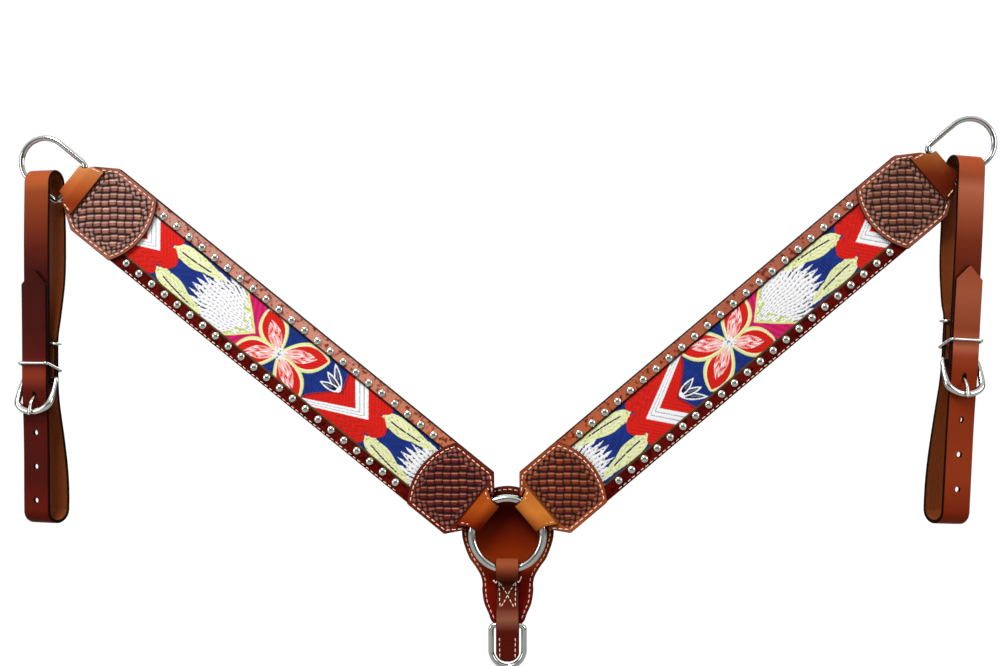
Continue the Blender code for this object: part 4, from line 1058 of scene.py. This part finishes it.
def build_centre():
    path = even(arc(0, 0, RING_RADIUS, 0, 360, 120)[:-1], 1.4, closed=True)
    path = np.column_stack([path[:, 0], np.zeros(len(path)), path[:, 1]])
    solid("centre_ring_wire", tube(path, RING_WIRE, True, 24), WORLD, NICKEL, "center_ring", "center_ring")

    front = Frame((0, 0, 0), (1, 0, 0), (0, 0, 1), (0, 1, 0))
    half = [(0.0, 41.0), (20.5, 35.5), (35.5, 20.5), (40.5, 0.0), (35.0, -20.0), (28.5, -30.0), (23.9, -38.0),
            (22.3, -45.0), (22.5, -51.0), (20.8, -62.0), (17.0, -71.0), (12.8, -79.5), (0.0, -81.5)]
    outline = smooth_line(half + [(-x, y) for x, y in reversed(half[1:-1])], 6, closed=True)
    part = plate(outline, SAFE_FRONT, SAFE_BACK)
    solid("safe_leather_piece", part, front, SAFE_LEATHER, "drop", "ring_safe")
    # the seam runs round the edge and is open at the bottom, under the strap
    edge = inset(even(outline, 1.5, closed=True), 3.0)
    start = int(np.argmin(np.abs(edge[:, 0] - 12) + np.abs(edge[:, 1] + 76)))
    edge = np.roll(edge, -start, 0)
    edge = edge[edge[:, 1] > -76.5]
    gap = np.argmax(np.linalg.norm(np.diff(np.vstack([edge, edge[:1]]), axis=0), axis=1))
    edge = np.roll(edge, -(gap + 1), 0)
    seams = [(edge, SAFE_FRONT, -1), (edge, SAFE_BACK, 1)]
    thread("safe_thread", seams, front, "drop", pitch=4.9, length=3.4, radius=0.45)

    fold = 6.85
    near = smooth_line([(1.6, -111.6), (1.6, -110.8), (1.6, -108.6), (1.6, -105.5), (1.6, -96.0), (0.2, -87.5),
                        (-0.95, -80.3), (0.6, -72.0), (3.7, -66.0), (4.2, -60.0), (4.2, -48.0), (1.5, -43.5),
                        (-3.4, -39.0), (-6.2, -34.0), (-fold, -30.0)], 5)
    far = smooth_line([(fold, -30.0), (fold + 0.05, -36.0), (7.0, -46.0), (7.0, -64.0), (6.95, -80.3), (6.0, -89.0),
                       (4.4, -97.0), (4.4, -105.5), (4.4, -108.6), (4.4, -110.8), (4.4, -111.6)], 5)
    path = even(np.vstack([near, arc(0, -29.5, fold, 178, 2, 20), far]), 0.8)
    wide = np.interp(path[:, 1], [-111.6, -110.8, -108.6, -105.5, -20], [2.6, 5.5, 8.4, 10.1, 10.1])
    profile = Frame((0, 0, 0), (0, 1, 0), (0, 0, 1), (1, 0, 0))
    part = ribbon(path, CHAPE_THICKNESS, wide, 0.7, 15)
    solid("drop_strap_leather", part, profile, DROP_LEATHER, "drop", "drop_strap")
    order = np.argsort(near[:, 1])

    def near_face(height):
        slope = 0.55 if -50 < height < -41 else 0.0
        return np.interp(height, near[order, 1], near[order, 0]) - 1.25 - slope

    rows = [([(s * 7.2, -42.0), (s * 6.8, -64.6)], near_face, -1) for s in (1, -1)]
    rows += [([(-6.6, -42.5), (5.8, -64.6)], near_face, -1), ([(6.6, -42.5), (-5.8, -64.6)], near_face, -1)]
    rows += [([(s * 7.0, -90.0), (s * 6.6, -108.5)], near_face, -1) for s in (1, -1)]
    thread("drop_thread", rows, front, "drop", pitch=4.2, length=3.1, radius=0.45)
    for label, points in (
        ("left", [(-6.8, -42.6), (-8.6, -40.6), (-10.2, -42.2), (-11.6, -40.2), (-12.6, -40.6)]),
        ("right", [(6.8, -42.6), (8.4, -40.0), (9.8, -41.4), (11.4, -38.8), (12.2, -36.4)]),
    ):
        curl = smooth_line(points, 6)
        lift = np.interp(np.arange(len(curl)), [0, 8, len(curl) - 1], [0.0, 3.2, 3.4])
        path = np.column_stack([curl[:, 0], curl[:, 1], near_face(-42.6) - 0.4 - lift * 0.6])
        solid(f"drop_thread_end_{label}", tube(path, 0.42, False, 8), front, THREAD, "drop")

    flat = dee_outline(14.4, 21.6, 3.5)
    path = np.column_stack([flat[:, 1], np.full(len(flat), 3.0), LOWER_DEE_BAR - flat[:, 0]])
    solid("bottom_dee_wire", tube(path, 2.4, True, 18), WORLD, NICKEL, "bottom_dee", "bottom_dee")


# ---------- camera, light and floor ----------

def aim(obj, target):
    obj.rotation_euler = (Vector(target) - obj.location).to_track_quat("-Z", "Y").to_euler()


def build_stage():
    scene = bpy.context.scene
    # the camera stands a little to the right of the middle and looks at the middle of the collar
    yaw, distance = math.radians(2.2), 1.213
    target = Vector((-0.0065, 0.0, 0.1755))
    camera_data = bpy.data.cameras.new("camera")
    camera_data.lens = 50
    camera_data.sensor_width = 36
    camera = bpy.data.objects.new("camera", camera_data)
    camera.location = target + Vector((math.sin(yaw), -math.cos(yaw), 0)) * distance
    aim(camera, target)
    scene.collection.objects.link(camera)
    scene.camera = camera

    for name, place, size, power in (
        ("key", (-0.5, -0.95, 1.5), 0.55, 30),
        ("fill_right", (1.6, -0.9, 0.5), 0.9, 9),
        ("fill_left", (-1.7, -0.9, 0.3), 0.9, 9),
        ("rear", (0.3, 1.6, 0.9), 1.4, 14),
    ):
        data = bpy.data.lights.new(name, "AREA")
        data.energy, data.size = power, size
        lamp = bpy.data.objects.new(name, data)
        lamp.location = place
        aim(lamp, (0, 0, 0.12))
        scene.collection.objects.link(lamp)

    # dark level with the collar, so that the leather keeps its depth, and white to the camera
    world = bpy.data.worlds.new("studio")
    world.use_nodes = True
    scene.world = world
    tree = world.node_tree
    ground = tree.nodes["Background"]
    coords = tree.nodes.new("ShaderNodeTexCoord")
    split = tree.nodes.new("ShaderNodeSeparateXYZ")
    tree.links.new(coords.outputs["Generated"], split.inputs[0])
    ramp = tree.nodes.new("ShaderNodeValToRGB")
    stops = ramp.color_ramp
    stops.elements[0].position, stops.elements[0].color = 0.0, (0.20, 0.20, 0.20, 1)
    stops.elements[1].position, stops.elements[1].color = 1.0, (0.75, 0.75, 0.75, 1)
    for place, value in ((0.40, 0.10), (0.50, 0.03), (0.60, 0.16), (0.70, 0.60)):
        stops.elements.new(place).color = (value, value, value, 1)
    scale = tree.nodes.new("ShaderNodeMapRange")
    scale.inputs["From Min"].default_value = -1.0
    tree.links.new(split.outputs["Z"], scale.inputs["Value"])
    tree.links.new(scale.outputs["Result"], ramp.inputs["Fac"])
    tree.links.new(ramp.outputs["Color"], ground.inputs["Color"])
    ground.inputs["Strength"].default_value = 1.0
    seen = tree.nodes.new("ShaderNodeBackground")
    seen.inputs["Color"].default_value = WHITE
    seen.inputs["Strength"].default_value = 1.05
    path = tree.nodes.new("ShaderNodeLightPath")
    mix = tree.nodes.new("ShaderNodeMixShader")
    tree.links.new(path.outputs["Is Camera Ray"], mix.inputs[0])
    tree.links.new(ground.outputs[0], mix.inputs[1])
    tree.links.new(seen.outputs[0], mix.inputs[2])
    tree.links.new(mix.outputs[0], tree.nodes["World Output"].inputs["Surface"])

    n = Nodes("floor")
    soft = n.noise(3, 2, 0.5)
    n.link(n.ramp(soft.outputs["Fac"], [(0.3, (0.30, 0.30, 0.30, 1)), (0.7, (0.34, 0.34, 0.34, 1))]),
           n.shader.inputs["Base Color"])
    n.surface(Roughness=0.9, Specular_IOR_Level=0.1)
    glow = n.node("ShaderNodeEmission")
    n.link(n.ramp(soft.outputs["Fac"], [(0.3, (0.99, 0.99, 0.99, 1)), (0.7, WHITE)]), glow.inputs["Color"])
    glow.inputs["Strength"].default_value = 1.05
    ray = n.node("ShaderNodeLightPath")
    blend = n.node("ShaderNodeMixShader")
    n.link(ray.outputs["Is Camera Ray"], blend.inputs[0])
    n.link(n.shader.outputs[0], blend.inputs[1])
    n.link(glow.outputs[0], blend.inputs[2])
    n.link(blend.outputs[0], n.tree.nodes["Material Output"].inputs["Surface"])
    mesh = bpy.data.meshes.new("floor")
    size, level = 4.0, -0.34
    corners = [(x * size, y * size, level) for x, y in ((-1, -1), (1, -1), (1, 1), (-1, 1))]
    mesh.from_pydata(corners, [], [(0, 1, 2, 3)])
    mesh.materials.append(n.mat)
    floor = bpy.data.objects.new("floor", mesh)
    scene.collection.objects.link(floor)
    scene.view_settings.view_transform = "Standard"


build_stage()
build_centre()
for side_name, side_values in SIDES.items():
    build_arm(side_name, side_values)
    build_dee(side_name, side_values)
    build_tug(side_name, side_values)
    build_buckle(side_name, side_values)
